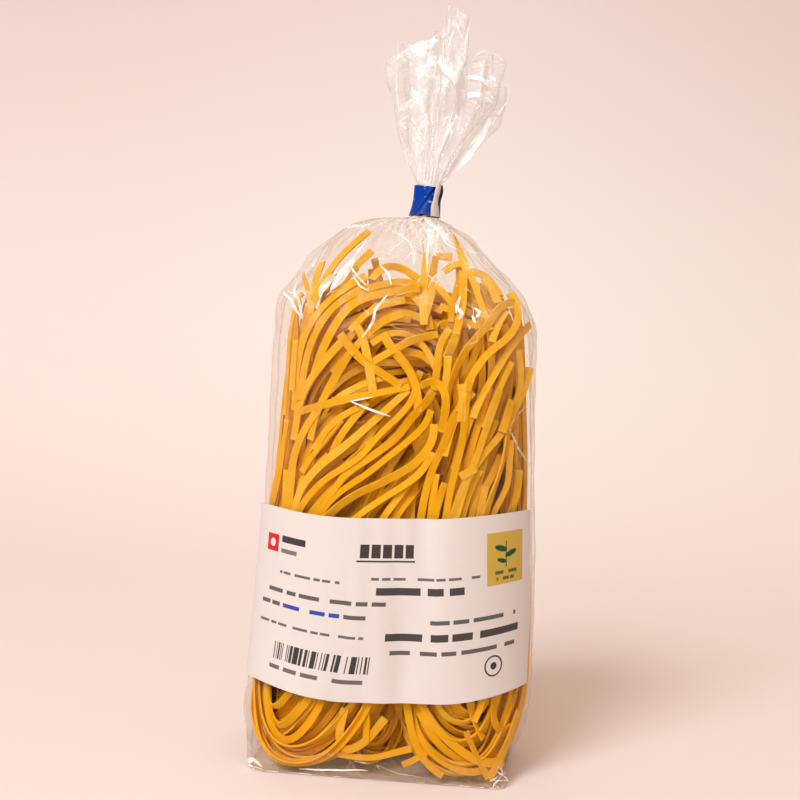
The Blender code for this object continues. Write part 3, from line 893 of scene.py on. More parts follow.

# %% [markdown]
# ## The tail's creases
#
# The tail is all folds, and a few of its facets lie at the angle that mirrors the lamp. Each of
# those is a painted reflection of the lamp: a small white patch with a drawn outline, filled by rings
# that shrink towards its middle. Its white lines are painted highlight along creases, with the
# film's own whitening. Lines and patches are listed as seen from in front. Their depth is looked up
# from the film's own points, and they lie a little in front of it so that no fold hides them.

# %% The creases of the tail
# x and height along the crease as seen from in front, width in mm, and how white it is, as painted
# highlight
TAIL_HIGHLIGHT_LINES = [
    ([(-7.2, 293.0), (-1.6, 294.5), (4.0, 295.3)], 1.6, 0.55),
    ([(-2.4, 281.6), (0.6, 285.0), (3.7, 286.8)], 1.0, 0.6),
    ([(-0.5, 277.6), (1.6, 281.8), (5.0, 280.4), (4.4, 276.3)], 1.4, 0.5),
    ([(-9.7, 267.8), (-4.9, 270.1), (-0.2, 272.8)], 1.3, 0.6),
    ([(-10.2, 263.3), (-7.9, 265.1), (-4.8, 267.7)], 1.1, 0.6),
    ([(-10.3, 264.1), (-7.6, 261.1), (-3.5, 260.5)], 0.5, 0.5),
    ([(8.2, 305.6), (8.1, 300.7), (7.9, 297.5)], 0.8, 0.6),
    ([(10.8, 302.5), (12.3, 298.9), (14.1, 295.8)], 0.6, 0.7),
    ([(18.5, 273.0), (22.7, 270.9), (26.6, 267.0)], 0.7, 0.7),
    ([(22.7, 257.9), (16.8, 249.5), (10.7, 243.5)], 1.4, 0.7),
    ([(13.2, 266.3), (9.7, 258.0), (7.3, 250.6)], 1.0, 0.7),
    ([(15.5, 268.8), (14.4, 261.5), (11.4, 256.5)], 0.6, 0.55),
    ([(-14.2, 286.6), (-8.8, 291.7), (-3.2, 294.1), (3.5, 296.0)], 0.45, 0.75),
    ([(-12.3, 296.4), (-12.0, 285.1), (-11.8, 275.4), (-10.0, 266.6), (-9.2, 260.2)], 0.5, 0.6),
    ([(16.8, 286.7), (19.7, 290.9), (22.0, 292.6), (28.6, 292.2), (30.8, 289.5)], 0.45, 0.7),
    ([(30.8, 289.5), (29.6, 288.2), (22.4, 287.0), (16.8, 285.9)], 0.4, 0.6),
    ([(30.3, 278.6), (33.3, 281.1), (34.7, 278.8), (33.8, 274.7), (30.1, 268.9), (27.3, 262.2),
      (23.7, 254.8)], 0.45, 0.6),
    ([(-9.6, 260.1), (-7.0, 252.2), (-3.6, 243.4), (-1.7, 239.1)], 0.4, 0.5),
    ([(4.5, 275.5), (5.9, 265.9), (5.8, 256.1), (4.1, 244.7)], 0.5, 0.5),
    ([(0.3, 264.7), (2.5, 256.0), (2.4, 244.6)], 1.6, 0.3),
    ([(-4.1, 258.0), (-1.2, 250.9), (0.1, 242.8)], 1.2, 0.3),
    ([(17.5, 288.3), (17.6, 279.5), (17.8, 264.9)], 0.5, 0.6),
    ([(5.8, 304.6), (6.3, 291.7), (7.1, 284.5)], 0.5, 0.7),
    ([(16.3, 305.2), (15.4, 294.7), (16.2, 283.4)], 0.5, 0.6),
]
# x and height round the edge of each flat facet that mirrors the lamp, and how white it is: each is a
# painted reflection of the lamp
TAIL_LAMP_REFLECTIONS = [
    ([(5.6, 285.7), (8.3, 285.0), (10.1, 282.7), (12.1, 283.0), (13.7, 284.1), (15.4, 282.2),
      (16.5, 278.6), (16.6, 274.6), (14.9, 271.2), (14.0, 266.7), (12.7, 267.9), (11.8, 272.7),
      (12.1, 276.7), (10.3, 279.9), (7.7, 281.7), (6.0, 283.7)], 1.0),
    ([(16.0, 282.8), (20.2, 283.0), (24.8, 281.1), (28.3, 277.6), (25.4, 278.7), (21.2, 281.1),
      (17.1, 281.3)], 0.95),
    ([(17.0, 276.2), (21.5, 276.3), (25.6, 275.1), (28.4, 272.4), (25.0, 273.0), (20.8, 274.2),
      (17.6, 273.8)], 0.95),
    ([(26.9, 267.9), (28.1, 265.5), (26.5, 262.2), (24.4, 257.2), (20.0, 250.1), (15.4, 245.4),
      (12.3, 243.6), (10.0, 241.8), (14.0, 248.5), (16.8, 256.0), (20.9, 260.3), (23.9, 264.5)], 0.9),
    ([(-6.8, 292.6), (-4.1, 294.8), (0.7, 295.5), (3.5, 296.0), (1.8, 292.3), (-0.5, 289.0),
      (-2.8, 288.0), (-4.2, 290.4)], 0.55),
    ([(-0.3, 285.7), (2.1, 287.5), (4.2, 286.8), (4.0, 282.7), (1.7, 280.2), (-0.7, 280.9)], 0.52),
    ([(-9.8, 269.8), (-5.9, 271.7), (-0.3, 273.6), (-2.5, 270.2), (-6.4, 267.6), (-9.4, 264.2)], 0.55),
    ([(-2.1, 263.8), (-0.3, 267.1), (2.2, 260.8), (-0.4, 250.9), (-2.2, 247.6), (-2.4, 255.7)], 0.36),
]


IN_FRONT = 0.25
PATCH_EDGE, PATCH_RINGS = 40, 7


def seen_tail():
    """Points all over the tail's front, for looking up how far forward the film is."""
    angle, up = np.meshgrid(np.linspace(181, 359, 535), np.linspace(0.01, 0.99, 245))
    return tail_surface(angle, up).reshape(-1, 3)


def front_depth(seen, p):
    """y of the front-most film at each x and height."""
    near = (seen[:, 0] - p[:, :1]) ** 2 + (seen[:, 2] - p[:, 1:]) ** 2
    k = np.argmin(np.where(near < np.maximum(0.5, near.min(1)[:, None] * 1.01), seen[:, 1], 1e3), 1)
    return seen[k, 1]


def tail_line(creases, seen, stations, width, strength, rough, count=18):
    """A ragged strip of painted highlight through stations in x and height, on the front-most film."""
    p = through(stations, count)
    y = front_depth(seen, p)
    ease(y, 4)
    line = np.column_stack([p[:, 0], y - IN_FRONT, p[:, 1]])
    ragged = width * taper(count) * rough.uniform(0.55, 1.35, count)
    creases.add(line, np.tile([0.0, -1.0, 0.0], (count, 1)), ragged, strength)


def lamp_reflection_patch(creases, seen, edge, strength):
    """A painted reflection of the lamp on a facet of the film, as rings drawn in from its edge to its
    middle.
    """
    edge = through(edge + edge[:1], PATCH_EDGE + 1)[:-1]
    middle = edge.mean(0)
    share = np.linspace(1.0, 0.04, PATCH_RINGS)
    flat = (middle + share[:, None, None] * (edge - middle)).reshape(-1, 2)
    found = front_depth(seen, flat).reshape(PATCH_RINGS, PATCH_EDGE)
    y = found.copy()
    for _ in range(6):
        y = (np.roll(y, 1, 1) + 2 * y + np.roll(y, -1, 1)) / 4
        ease(y, 1)
    forward = IN_FRONT + min(2.5, float((y - found).max()))
    base = sum(len(p) for p in creases.points)
    creases.points.append(np.column_stack([flat[:, 0], y.ravel() - forward, flat[:, 1]]))
    creases.faces += (grid_faces(PATCH_RINGS, PATCH_EDGE, closed=True) + base).tolist()
    creases.milk.append(np.full(len(flat), strength))


def make_tail_creases():
    pick, rough = np.random.default_rng(19), np.random.default_rng(23)
    creases = Creases()
    seen = seen_tail()
    for stations, width, strength in TAIL_HIGHLIGHT_LINES:
        tail_line(creases, seen, stations, width, strength, rough)
    for edge, strength in TAIL_LAMP_REFLECTIONS:
        lamp_reflection_patch(creases, seen, edge, strength)
    for _ in range(60):
        a, top = pick.uniform(0, 360), pick.uniform(0.06, 0.4)
        stations = [(a, 0.01), (a + pick.normal(0, 5), top)]
        tail_crease(creases, stations, pick.uniform(0.25, 0.6), pick.uniform(0.2, 0.6))
    for _ in range(90):
        a, low = pick.uniform(0, 360), pick.uniform(0.15, 0.9)
        turn, length = pick.uniform(0, 2 * np.pi), pick.uniform(0.04, 0.16)
        kink = turn + pick.normal(0, 0.7)
        b = (a + 80 * length * math.cos(turn), low + length * math.sin(turn))
        c = (b[0] + 80 * length * math.cos(kink), b[1] + length * math.sin(kink))
        if max(b[1], c[1]) < 0.99 and min(b[1], c[1]) > 0.05:
            tail_crease(creases, [(a, low), b, c], pick.uniform(0.2, 0.8), pick.uniform(0.25, 0.75))
    rim = np.linspace(0, 360, 721)
    line = tail_surface(rim, np.full(len(rim), 0.995), 0.05)
    creases.add(line, outwards(np.radians(rim)), 0.35, 0.55)
    creases.make("tail_crease_highlights")


make_tail_creases()

# %% [markdown]
# ## Ribbons of pasta
#
# Each ribbon is a flat strip with square-cut ends, swept along a smooth line. Its broad side faces
# out of the bag and turns a little along the way, as dried ribbons do. The sweep makes four edges
# and two end caps. All ribbons of a hank join into one mesh, because thousands of separate objects
# would be slow. Ribbons high in the bag are painted paler, as painted light for the light that comes
# through them there, and cut ends get the palest.

# %% Sweep ribbons along lines
RIBBON_WIDTH = 2.9
RIBBON_THICK = 0.8
RIBBON_STEP = 3.0
draw = np.random.default_rng(41)


def smooth_line(stations, step):
    """A Catmull-Rom line through the stations, with points about step mm apart."""
    p = np.asarray(stations, float)
    p = np.vstack([2 * p[0] - p[1], p, 2 * p[-1] - p[-2]])
    parts = []
    for a, b, c, d in zip(p, p[1:], p[2:], p[3:]):
        n = max(2, int(round(np.linalg.norm(c - b) / step)))
        t = np.linspace(0, 1, n, endpoint=False)[:, None]
        parts.append(0.5 * (2 * b + (c - a) * t + (2 * a - 5 * b + 4 * c - d) * t**2
                            + (3 * b - a - 3 * c + d) * t**3))
    return np.vstack(parts + [p[-2:-1]])


def slow_noise(count, waves, size):
    """A random line that wanders smoothly: a few sines of random height and phase."""
    t = np.linspace(0, 1, count)
    line = np.zeros(count)
    for k in range(1, waves + 1):
        line += draw.normal(0, 1 / k) * np.sin(2 * np.pi * (0.5 * k * t + draw.random()))
    return size * line


class Ribbons:
    """Collects ribbons and joins them into one mesh."""

    def __init__(self):
        self.points, self.faces, self.tones, self.count = [], [], [], 0

    def add(self, line, out, width=RIBBON_WIDTH, twist=None, tone=None, on_edge=0.0):
        """on_edge: how far the ribbon stands on its narrow side where it bends near the base."""
        n = len(line)
        along = np.gradient(line, axis=0)
        spacing = np.linalg.norm(along, axis=1)[:, None] + 1e-9
        along /= spacing
        bend = np.gradient(along, axis=0) / spacing
        ease(bend, 4)
        bent = np.linalg.norm(bend, axis=1)[:, None]
        lean = np.clip(bent * 16, 0, 1) * on_edge * (1 - rise(line[:, 2:3], 20, 50))
        out = out * (1 - lean) - bend / (bent + 1e-6) * lean
        flat = out - (out * along).sum(1)[:, None] * along
        flat /= np.linalg.norm(flat, axis=1)[:, None] + 1e-9
        side = np.cross(along, flat)
        turn = draw.normal(0, 0.22) + slow_noise(n, 3, 0.36) if twist is None else twist
        turn = np.broadcast_to(turn, (n,))[:, None]
        cos, sin = np.cos(turn), np.sin(turn)
        flat, side = flat * cos + side * sin, side * cos - flat * sin
        swell = width * (1 + 0.06 * slow_noise(n, 2, 1.0))[:, None]
        corners = [(-1, -1), (1, -1), (1, 1), (-1, 1)]
        rings = [line + side * swell / 2 * a + flat * RIBBON_THICK / 2 * b for a, b in corners]
        base = sum(len(p) for p in self.points)
        self.points.append(np.stack(rings, 1).reshape(-1, 3))
        self.faces += (grid_faces(n, 4, closed=True) + base).tolist()
        self.faces += [[base + k for k in (3, 2, 1, 0)], [base + 4 * n - 4 + k for k in range(4)]]
        shade = draw.random() if tone is None else tone
        # Painted light: from 165 mm upwards a ribbon is made paler.
        high = np.repeat(rise(line[:, 2], 165, 200), 4)
        tones = shade + (1 - shade) * 0.65 * high
        tones[:4] = tones[-4:] = 1.0
        self.tones.append(tones)
        self.count += 1

    def make(self, name):
        points = np.vstack(self.points)
        made = piece(name, points, self.faces, PASTA, node="bag", slot="bag", sharp=40)
        add_values(made, "tone", np.concatenate(self.tones))
        print(f"{name}: {self.count} ribbons")


# %% [markdown]
# ## Where a ribbon may lie
#
# The ribbons fill the bag from the film inwards. So a ribbon's line is drawn as seen from the front,
# in x and z, and its depth is found by asking the bag's own section: the layer nearest the film lies
# a millimetre or two inside it, the next one deeper, and so on. The back hanks do the same from the
# other side, so the bag is full all round.


# %% Depth inside the bag, and the direction out of it
RIBBONS_FROM, RIBBONS_TO = 1.5, 223.0
HALF_WIDTH, HALF_DEPTH = 58, 30


def depth_inside(x, z, inset, side=-1):
    """y of a surface that lies inset mm inside the film, in front (side -1) or behind (side 1)."""
    z = np.clip(z, RIBBONS_FROM, RIBBONS_TO)
    left, right, front, back, corner, _ = body_section(z)
    mid = (left + right) / 2
    half = (right - left) / 2 - inset
    deep_half = (back - front) / 2 - inset
    deep = np.minimum(np.maximum(corner - 0.4 * inset, 3.0), deep_half)
    wide = np.minimum(deep * CORNER_STRETCH, half)
    power = 2 + (CORNER_POWER - 2) * rise(corner, 6, 24)
    reach = np.clip((np.abs(x - mid) - (half - wide)) / wide, 0, 0.995)
    y = (deep_half - deep) + deep * (1 - reach**power) ** (1 / power)
    hollow = BUNDLE_GAP["depth"] * bell(x - BUNDLE_GAP["x"], BUNDLE_GAP["width"])
    return (front + back) / 2 + side * (y - hollow)


def keep_inside(x, z, inset):
    left, right = body_section(np.clip(z, RIBBONS_FROM, RIBBONS_TO))[:2]
    return np.clip(x, left + inset, right - inset)


def out_of_bag(line):
    """Direction out of the bag at each point, as the direction out of an ellipse."""
    out = np.stack([line[:, 0] / HALF_WIDTH**2, line[:, 1] / HALF_DEPTH**2, 0 * line[:, 2]], 1)
    return out / (np.linalg.norm(out, axis=1)[:, None] + 1e-9)


# %% [markdown]
# ## Hanks
#
# The pasta was folded into hanks: long ribbons bent double, standing on their bend, with both arms
# reaching up. Two rails describe a hank, its outermost and its innermost ribbon, and every other
# ribbon lies between them and drifts a little from one to the other on its way. Each ribbon has a
# depth of its own, so wherever two cross, one passes over the other as they would in the bag. A
# second, deeper layer of each hank fills the gaps, and a low hank and an arch stand between the two.

# %% The hanks' rails
# Each station is x, z on the outer rail, x, z on the inner rail, and how much deeper it lies.
LEFT_HANK = np.array([
    (12, 188, 11, 160, 5), (-2, 193, 2, 166, 4), (-18, 193, -12, 165, 3), (-33, 186, -25, 156, 2),
    (-44, 172, -34, 142, 1), (-50, 150, -39, 124, 1), (-52, 124, -42, 104, 1), (-53, 96, -43, 82, 1),
    (-54, 60, -46, 58, 1), (-54, 26, -47, 37, 1), (-47, 8, -46, 26, 0), (-34, 2.6, -43.5, 20, 0),
    (-18, 9, -38, 27, 0), (-4, 32, -33, 38, 0), (-3, 60, -38, 60, 0), (-4, 84, -46, 82, 0),
    (1, 104, -46, 98, 0), (8, 114, -40, 112, 0), (14, 127, -28, 126, 0), (16, 140, -12, 138, 0),
    (13, 151, -1, 149, 0), (8, 158, 7, 158, 0),
], float)
LEFT_ARCH = np.array([
    (-44, 60, -38, 60, 0), (-43, 100, -34, 98, 0), (-39, 130, -27, 120, 0), (-28, 150, -15, 136, 0),
    (-12, 163, -4, 146, 0), (4, 167, 6, 150, 0), (13, 163, 13, 146, 0),
], float)
LEFT_TIPS = np.array([
    (-50, 100, -36, 100, 0), (-49, 140, -35, 138, 0), (-47, 168, -32, 168, 0), (-44, 186, -28, 190, 0),
    (-41, 194, -24, 201, 0),
], float)
RIGHT_HANK = np.array([
    (33, 190, 49, 172, 2), (27, 172, 45, 158, 1), (20, 150, 40, 140, 0), (14, 125, 35, 120, 0),
    (9, 100, 30, 100, 0), (6, 75, 27, 80, 0), (5, 50, 25, 60, 0), (6, 32, 25, 45, 0),
    (10, 19, 28, 36, 0), (19, 9, 32, 32, 0), (32, 4, 36, 32, 0), (44, 8, 39, 38, 0),
    (51, 22, 41, 48, 0), (54, 40, 41, 60, 0), (55, 70, 40, 80, 1), (54, 105, 42, 105, 1),
    (52, 130, 43, 125, 1), (50, 150, 40, 150, 2), (46, 172, 34, 170, 3), (40, 186, 27, 188, 3),
], float)
RIGHT_TIPS = np.array([
    (8, 90, 24, 90, 0), (9, 130, 25, 130, 0), (10, 162, 26, 164, 0), (12, 192, 25, 184, 0),
    (15, 212, 22, 200, 0),
], float)
RIGHT_CURL = np.array([
    (20, 116, 38, 116, 0), (25, 146, 43, 142, 0), (29, 172, 46, 164, 0), (27, 190, 43, 180, 0),
    (19, 200, 34, 190, 0),
], float)
MIDDLE_HANK = np.array([
    (-20, 66, -8, 66, 0), (-20, 48, -9, 50, 0), (-18, 24, -8, 32, 0), (-14, 8, -6, 20, 0),
    (-5, 3.5, -3, 16, 0), (5, 7, 0, 20, 0), (11, 24, 2, 32, 0), (13, 48, 4, 50, 0), (15, 66, 5, 66, 0),
], float)
MIDDLE_ARCH = np.array([
    (-34, 150, -24, 140, 0), (-28, 172, -18, 158, 0), (-16, 187, -8, 168, 0), (0, 193, 2, 174, 0),
    (14, 190, 10, 172, 0), (24, 176, 18, 160, 0), (30, 156, 22, 142, 0),
], float)


def valley(x, z):
    """The two front hanks are rounded, so ribbons lie deeper on the line where they meet."""
    line = 7 + 9 * rise(z, 25, 150)
    gap = 5.5 * rise(z, 84, 98) * (1 - rise(z, 116, 134))
    return (8.5 + gap) * bell(x - line, 5.0) * rise(z, -5, 20) * (1 - rise(z, 135, 165))


def add_hank(ribbons, rails, count, insets, cut, wander, drift=0.16, side=-1, flip=False):
    """Adds count ribbons between two rails. cut: how many stations an end may fall short by."""
    depths = np.linspace(*insets, count)
    places = (draw.permutation(count) + draw.uniform(0, 1, count)) / count
    for inset, u0 in zip(depths, places):
        t = np.linspace(0, 1, len(rails))
        phase = 2 * np.pi * (draw.uniform(0.4, 1.1) * t + draw.random())
        u = np.clip(u0 + drift * np.sin(phase), 0, 1)[:, None]
        stations = rails[:, :2] * (1 - u) + rails[:, 2:4] * u + draw.normal(0, 0.9, 2)
        low = int(draw.integers(0, cut[0] + 1))
        high = len(rails) - int(draw.integers(0, cut[1] + 1))
        line = smooth_line(np.column_stack([stations, rails[:, 4]])[low:high], RIBBON_STEP)
        n = len(line)
        x = line[:, 0] + slow_noise(n, 3, wander)
        z = np.maximum(line[:, 1] + slow_noise(n, 3, 0.8 * wander), 1.6 + 0.25 * inset)
        depth = inset + line[:, 2] + 0.9 * slow_noise(n, 4, 0.6)
        depth = np.maximum(depth, 1.4)
        if side < 0:
            depth = depth + (valley(x, z) + 1.5 * rise(z, 80, 105))
        x = -x if flip else x
        x = keep_inside(x, z, np.minimum(depth, 9) * 0.8 + 1.2)
        line = np.column_stack([x, depth_inside(x, z, depth, side), z])
        ease(line, 2)
        width = RIBBON_WIDTH * draw.uniform(0.86, 1.12)
        ribbons.add(line, out_of_bag(line), width=width, on_edge=0.8 * draw.uniform(0.4, 1))


def add_ends(ribbons, count, n=60):
    """Upright ribbons between the front and back hanks, seen from the bag's narrow sides."""
    for end in (-1, 1):
        for across in np.linspace(-10, 10, count):
            z = np.linspace(draw.uniform(8, 26), draw.uniform(160, 196), n)
            left, right = body_section(z)[:2]
            half = (right - left) / 2 - draw.uniform(4.5, 8) - 0.03 * across**2 + slow_noise(n, 3, 0.8)
            line = np.column_stack([(left + right) / 2 + end * half, across + slow_noise(n, 3, 2.2), z])
            ribbons.add(line, np.tile([float(end), 0.0, 0.0], (n, 1)))


front = Ribbons()
add_hank(front, LEFT_HANK, 40, (1.9, 12.0), cut=(5, 3), wander=2.2, drift=0.2)
add_hank(front, LEFT_ARCH, 16, (4.5, 12.0), cut=(0, 3), wander=2.4)
add_hank(front, LEFT_TIPS, 12, (4.0, 12.0), cut=(0, 2), wander=2.6)
add_hank(front, RIGHT_HANK, 44, (1.9, 13.0), cut=(5, 4), wander=2.4, drift=0.2)
add_hank(front, RIGHT_TIPS, 12, (4.0, 13.0), cut=(0, 2), wander=2.8)
add_hank(front, RIGHT_CURL, 14, (4.0, 13.0), cut=(0, 2), wander=2.4)
add_hank(front, LEFT_HANK, 16, (6.0, 13.0), cut=(4, 4), wander=2.6, drift=0.2)
add_hank(front, RIGHT_HANK, 12, (6.0, 13.0), cut=(4, 4), wander=2.6, drift=0.2)
front.make("pasta_front")

middle = Ribbons()
add_hank(middle, MIDDLE_HANK, 22, (8.0, 18.0), cut=(0, 0), wander=2.4)
add_hank(middle, MIDDLE_HANK + (0, 12, 0, 12, 0), 14, (8.0, 18.0), side=1, cut=(0, 0), wander=2.4)
add_hank(middle, MIDDLE_ARCH, 16, (13.0, 20.0), cut=(1, 1), wander=2.2)
add_ends(middle, 11)
middle.make("pasta_middle")

back = Ribbons()
BACK_HANKS = [(LEFT_HANK, 40), (LEFT_ARCH, 14), (LEFT_TIPS, 9),
              (RIGHT_HANK, 42), (RIGHT_TIPS, 8), (RIGHT_CURL, 8)]
for rails, count in BACK_HANKS:
    ends = (4, 3) if len(rails) > 10 else (0, 2)
    add_hank(back, rails, count, (1.8, 13.0), side=1, flip=True, cut=ends, wander=2.0)
back.make("pasta_back")

# %% [markdown]
# ## The heart of the bundle
#
# Deep between the ribbons nothing can be told apart, only a brown shade. A single ribbed body fills
# that space, so no daylight shows through and no unseen ribbons have to be made. Its ribs are as
# wide as ribbons, in case one of them does show through a gap. It stands in for the unseen ribbons,
# and the deepest pasta tone that it takes is painted shade.


# %% The ribbed core
CORE_FOOT, CORE_HEIGHT = 13, 158
CORE_COLUMNS, CORE_ROWS = 460, 64
# The deepest tone: painted shade for the depth that the core stands in for.
CORE_SHADE_TONE = 0.05


def make_core():
    column = np.linspace(0, AROUND, CORE_COLUMNS, endpoint=False)
    c, h = np.meshgrid(column, np.linspace(0, 1, CORE_ROWS))
    z = CORE_FOOT + CORE_HEIGHT * h
    ends = 1 - np.abs(2 * h - 1) ** 6
    share = c / AROUND
    rib = np.abs(np.sin(46 * np.pi * share + 1.5 * np.sin(z / 23) + np.sin(z / 9 + 20 * share)))
    front_y, back_y = body_section(z)[2:4]
    inset = np.minimum(24.0 - 8.5 * np.sqrt(ends) - 1.1 * rib, (back_y - front_y) / 2 - 7)
    points = film_point(c, z, -inset).reshape(-1, 3)
    faces = grid_faces(CORE_ROWS, CORE_COLUMNS, closed=True).tolist()
    faces.append(list(range(CORE_COLUMNS))[::-1])
    faces.append(list(range(len(points) - CORE_COLUMNS, len(points))))
    made = piece("pasta_core", points, faces, PASTA, node="bag", slot="bag")
    add_values(made, "tone", np.full(len(points), CORE_SHADE_TONE))


make_core()

# %% [markdown]
# ## Loose ends
#
# What makes the bag look real are the ribbons that left their hank: tips that stick up under the
# shoulders, many that lie across the rest, a curl, and the broken ends near the base. There are about
# a hundred in front, each drawn on its own: its points in x and z, and how far inside the film it
# lies. They are grouped by place: upper left, upper right, the same above the label, and below it.

# %% Ribbons on their own
HIGH_LEFT = [
    ([(-18.9, 217.4), (-25.8, 210.0), (-31.5, 202.5), (-35.3, 193.9), (-38.4, 184.9), (-41.4, 173.3),
      (-42.9, 161.3)], 2.6),
    ([(-16.9, 208.9), (-23.0, 201.8), (-27.8, 193.6), (-32.2, 186.0), (-35.8, 176.3),
      (-38.3, 163.6)], 3.0),
    ([(-36.9, 203.4), (-38.4, 197.2), (-38.6, 190.5), (-38.6, 181.3)], 3.2),
    ([(-44.5, 197.9), (-40.2, 189.7), (-38.6, 180.1), (-38.8, 169.5)], 3.4),
    ([(-43.8, 186.6), (-46.3, 178.2), (-47.1, 167.0), (-47.2, 154.2), (-47.3, 140.9)], 1.6),
    ([(-44.1, 171.1), (-44.5, 162.4), (-44.7, 151.2)], 1.4),
    ([(-43.5, 143.3), (-43.1, 158.5), (-40.8, 172.1), (-35.7, 182.6), (-27.9, 191.5),
      (-18.2, 198.3)], 2.2),
    ([(-41.0, 147.5), (-39.4, 163.5), (-35.9, 174.7), (-29.3, 185.8), (-19.2, 192.5), (-9.2, 196.0),
      (-3.0, 197.6), (3.4, 196.0)], 1.8),
    ([(-35.4, 159.0), (-33.1, 167.8), (-28.0, 179.1), (-22.7, 187.0), (-15.9, 190.3), (-5.8, 193.0),
      (3.5, 194.9)], 2.6),
    ([(-15.9, 197.0), (-13.1, 202.2), (-7.6, 203.8), (-1.8, 201.7), (2.4, 198.7)], 5.0),
    ([(-21.8, 166.9), (-16.1, 174.7), (-11.1, 180.2), (-2.7, 183.9)], 1.6),
    ([(-26.3, 174.5), (-21.1, 168.5), (-15.7, 163.8), (-9.7, 160.7), (-1.1, 155.8)], 1.2),
    ([(-20.8, 179.1), (-17.3, 174.6), (-15.2, 166.9), (-13.4, 159.3), (-11.8, 152.4)], 1.0),
    ([(-9.6, 175.9), (-6.5, 170.6), (-1.1, 165.9), (3.2, 160.3), (5.6, 153.5), (6.1, 146.1)], 1.3),
    ([(11.8, 176.9), (4.9, 175.3), (-1.5, 172.1), (-7.1, 168.3), (-14.5, 163.1)], 1.1),
    ([(-14.0, 171.4), (-8.8, 175.6), (-2.3, 177.2), (4.2, 174.5), (9.2, 169.0), (12.0, 162.9)], 2.6),
    ([(-41.4, 142.8), (-29.9, 146.9), (-19.8, 149.9), (-9.1, 152.6), (2.0, 155.6)], 0.9),
    ([(-28.5, 146.5), (-22.4, 152.0), (-14.9, 156.0), (-7.3, 158.9)], 2.4),
    ([(-24.3, 173.0), (-30.1, 166.0), (-36.1, 157.4), (-40.6, 147.5), (-42.7, 131.4)], 2.2),
    ([(-20.5, 170.1), (-25.0, 162.0), (-29.6, 152.3), (-33.5, 143.4), (-35.7, 132.2)], 1.8),
    ([(-12.6, 187.4), (-19.1, 179.8), (-24.3, 170.3), (-29.1, 159.4)], 4.6),
    ([(-2.1, 189.7), (-9.9, 187.9), (-17.0, 183.1), (-22.7, 176.0)], 4.2),
    ([(0.9, 191.6), (7.3, 185.6), (8.6, 178.5)], 5.5),
    ([(5.2, 209.6), (4.9, 202.5), (4.7, 194.2), (6.1, 180.2)], 3.6),
    ([(8.9, 208.3), (7.8, 200.7), (8.3, 194.5), (7.1, 187.9), (5.6, 181.4)], 4.4),
    ([(15.3, 208.6), (8.9, 208.7)], 4.2),
    ([(9.7, 197.1), (13.6, 192.8), (17.4, 188.1)], 4.6),
    ([(11.9, 188.2), (16.8, 186.1), (21.1, 186.7)], 4.8),
    ([(-5.7, 169.6), (-1.8, 169.0), (5.2, 169.5), (9.8, 165.9)], 4.5),
]
HIGH_RIGHT = [
    ([(15.6, 217.8), (18.4, 211.6), (20.3, 206.6), (21.8, 200.9)], 2.4),
    ([(12.6, 202.1), (14.8, 205.1), (18.3, 206.5), (22.3, 205.1)], 2.8),
    ([(20.1, 202.8), (20.6, 193.0), (20.3, 184.9), (18.8, 177.4)], 1.8),
    ([(18.7, 198.7), (17.5, 193.7), (16.6, 188.0), (16.6, 182.0)], 3.0),
    ([(22.0, 203.4), (25.1, 197.8), (27.0, 191.4), (30.1, 185.2), (32.0, 179.8)], 2.6),
    ([(22.5, 203.0), (27.7, 203.1), (31.9, 199.3), (35.7, 193.7)], 3.0),
    ([(28.6, 200.5), (31.9, 196.6), (34.6, 190.7)], 2.2),
    ([(41.0, 191.7), (34.9, 189.9), (32.9, 184.2), (27.4, 177.1), (22.4, 170.5), (19.4, 162.9),
      (17.2, 155.4), (16.2, 146.8)], 1.5),
    ([(38.8, 195.2), (43.0, 190.2), (42.6, 181.8), (38.2, 175.9), (31.4, 170.7), (27.5, 164.2),
      (24.0, 157.0), (22.0, 147.2)], 1.1),
    ([(48.4, 183.7), (43.0, 177.1), (39.0, 170.9), (35.5, 163.2), (31.2, 155.1), (27.6, 145.2)], 1.6),
    ([(43.8, 172.9), (45.6, 165.8), (46.2, 158.7), (43.8, 149.8)], 2.0),
    ([(41.6, 167.9), (37.8, 158.6), (34.8, 150.2), (32.2, 141.5)], 1.8),
    ([(49.5, 166.1), (47.5, 157.2), (43.8, 148.7), (41.3, 143.0)], 1.2),
    ([(16.4, 179.2), (13.8, 176.3), (12.3, 170.7), (12.4, 162.9), (11.7, 155.0)], 1.6),
    ([(19.1, 179.0), (18.0, 173.0), (15.6, 167.8)], 2.2),
    ([(16.3, 168.6), (16.4, 161.2), (15.7, 154.5)], 1.2),
    ([(42.6, 153.0), (41.0, 146.2), (39.4, 140.2)], 0.8),
    ([(22.4, 158.1), (23.2, 151.9), (23.0, 143.4)], 1.0),
    ([(25.8, 160.3), (24.9, 155.5)], 0.8),
    ([(37.9, 187.8), (34.7, 181.6), (33.1, 175.2)], 2.8),
    ([(6.2, 155.9), (9.1, 159.2), (13.0, 159.4), (16.0, 155.3), (17.1, 149.6), (16.1, 142.2),
      (15.1, 139.0)], 0.8),
    ([(25.9, 191.5), (30.9, 187.0), (36.1, 180.2)], 4.6),
    ([(12.4, 180.6), (18.2, 182.2), (28.0, 181.6)], 4.4),
]
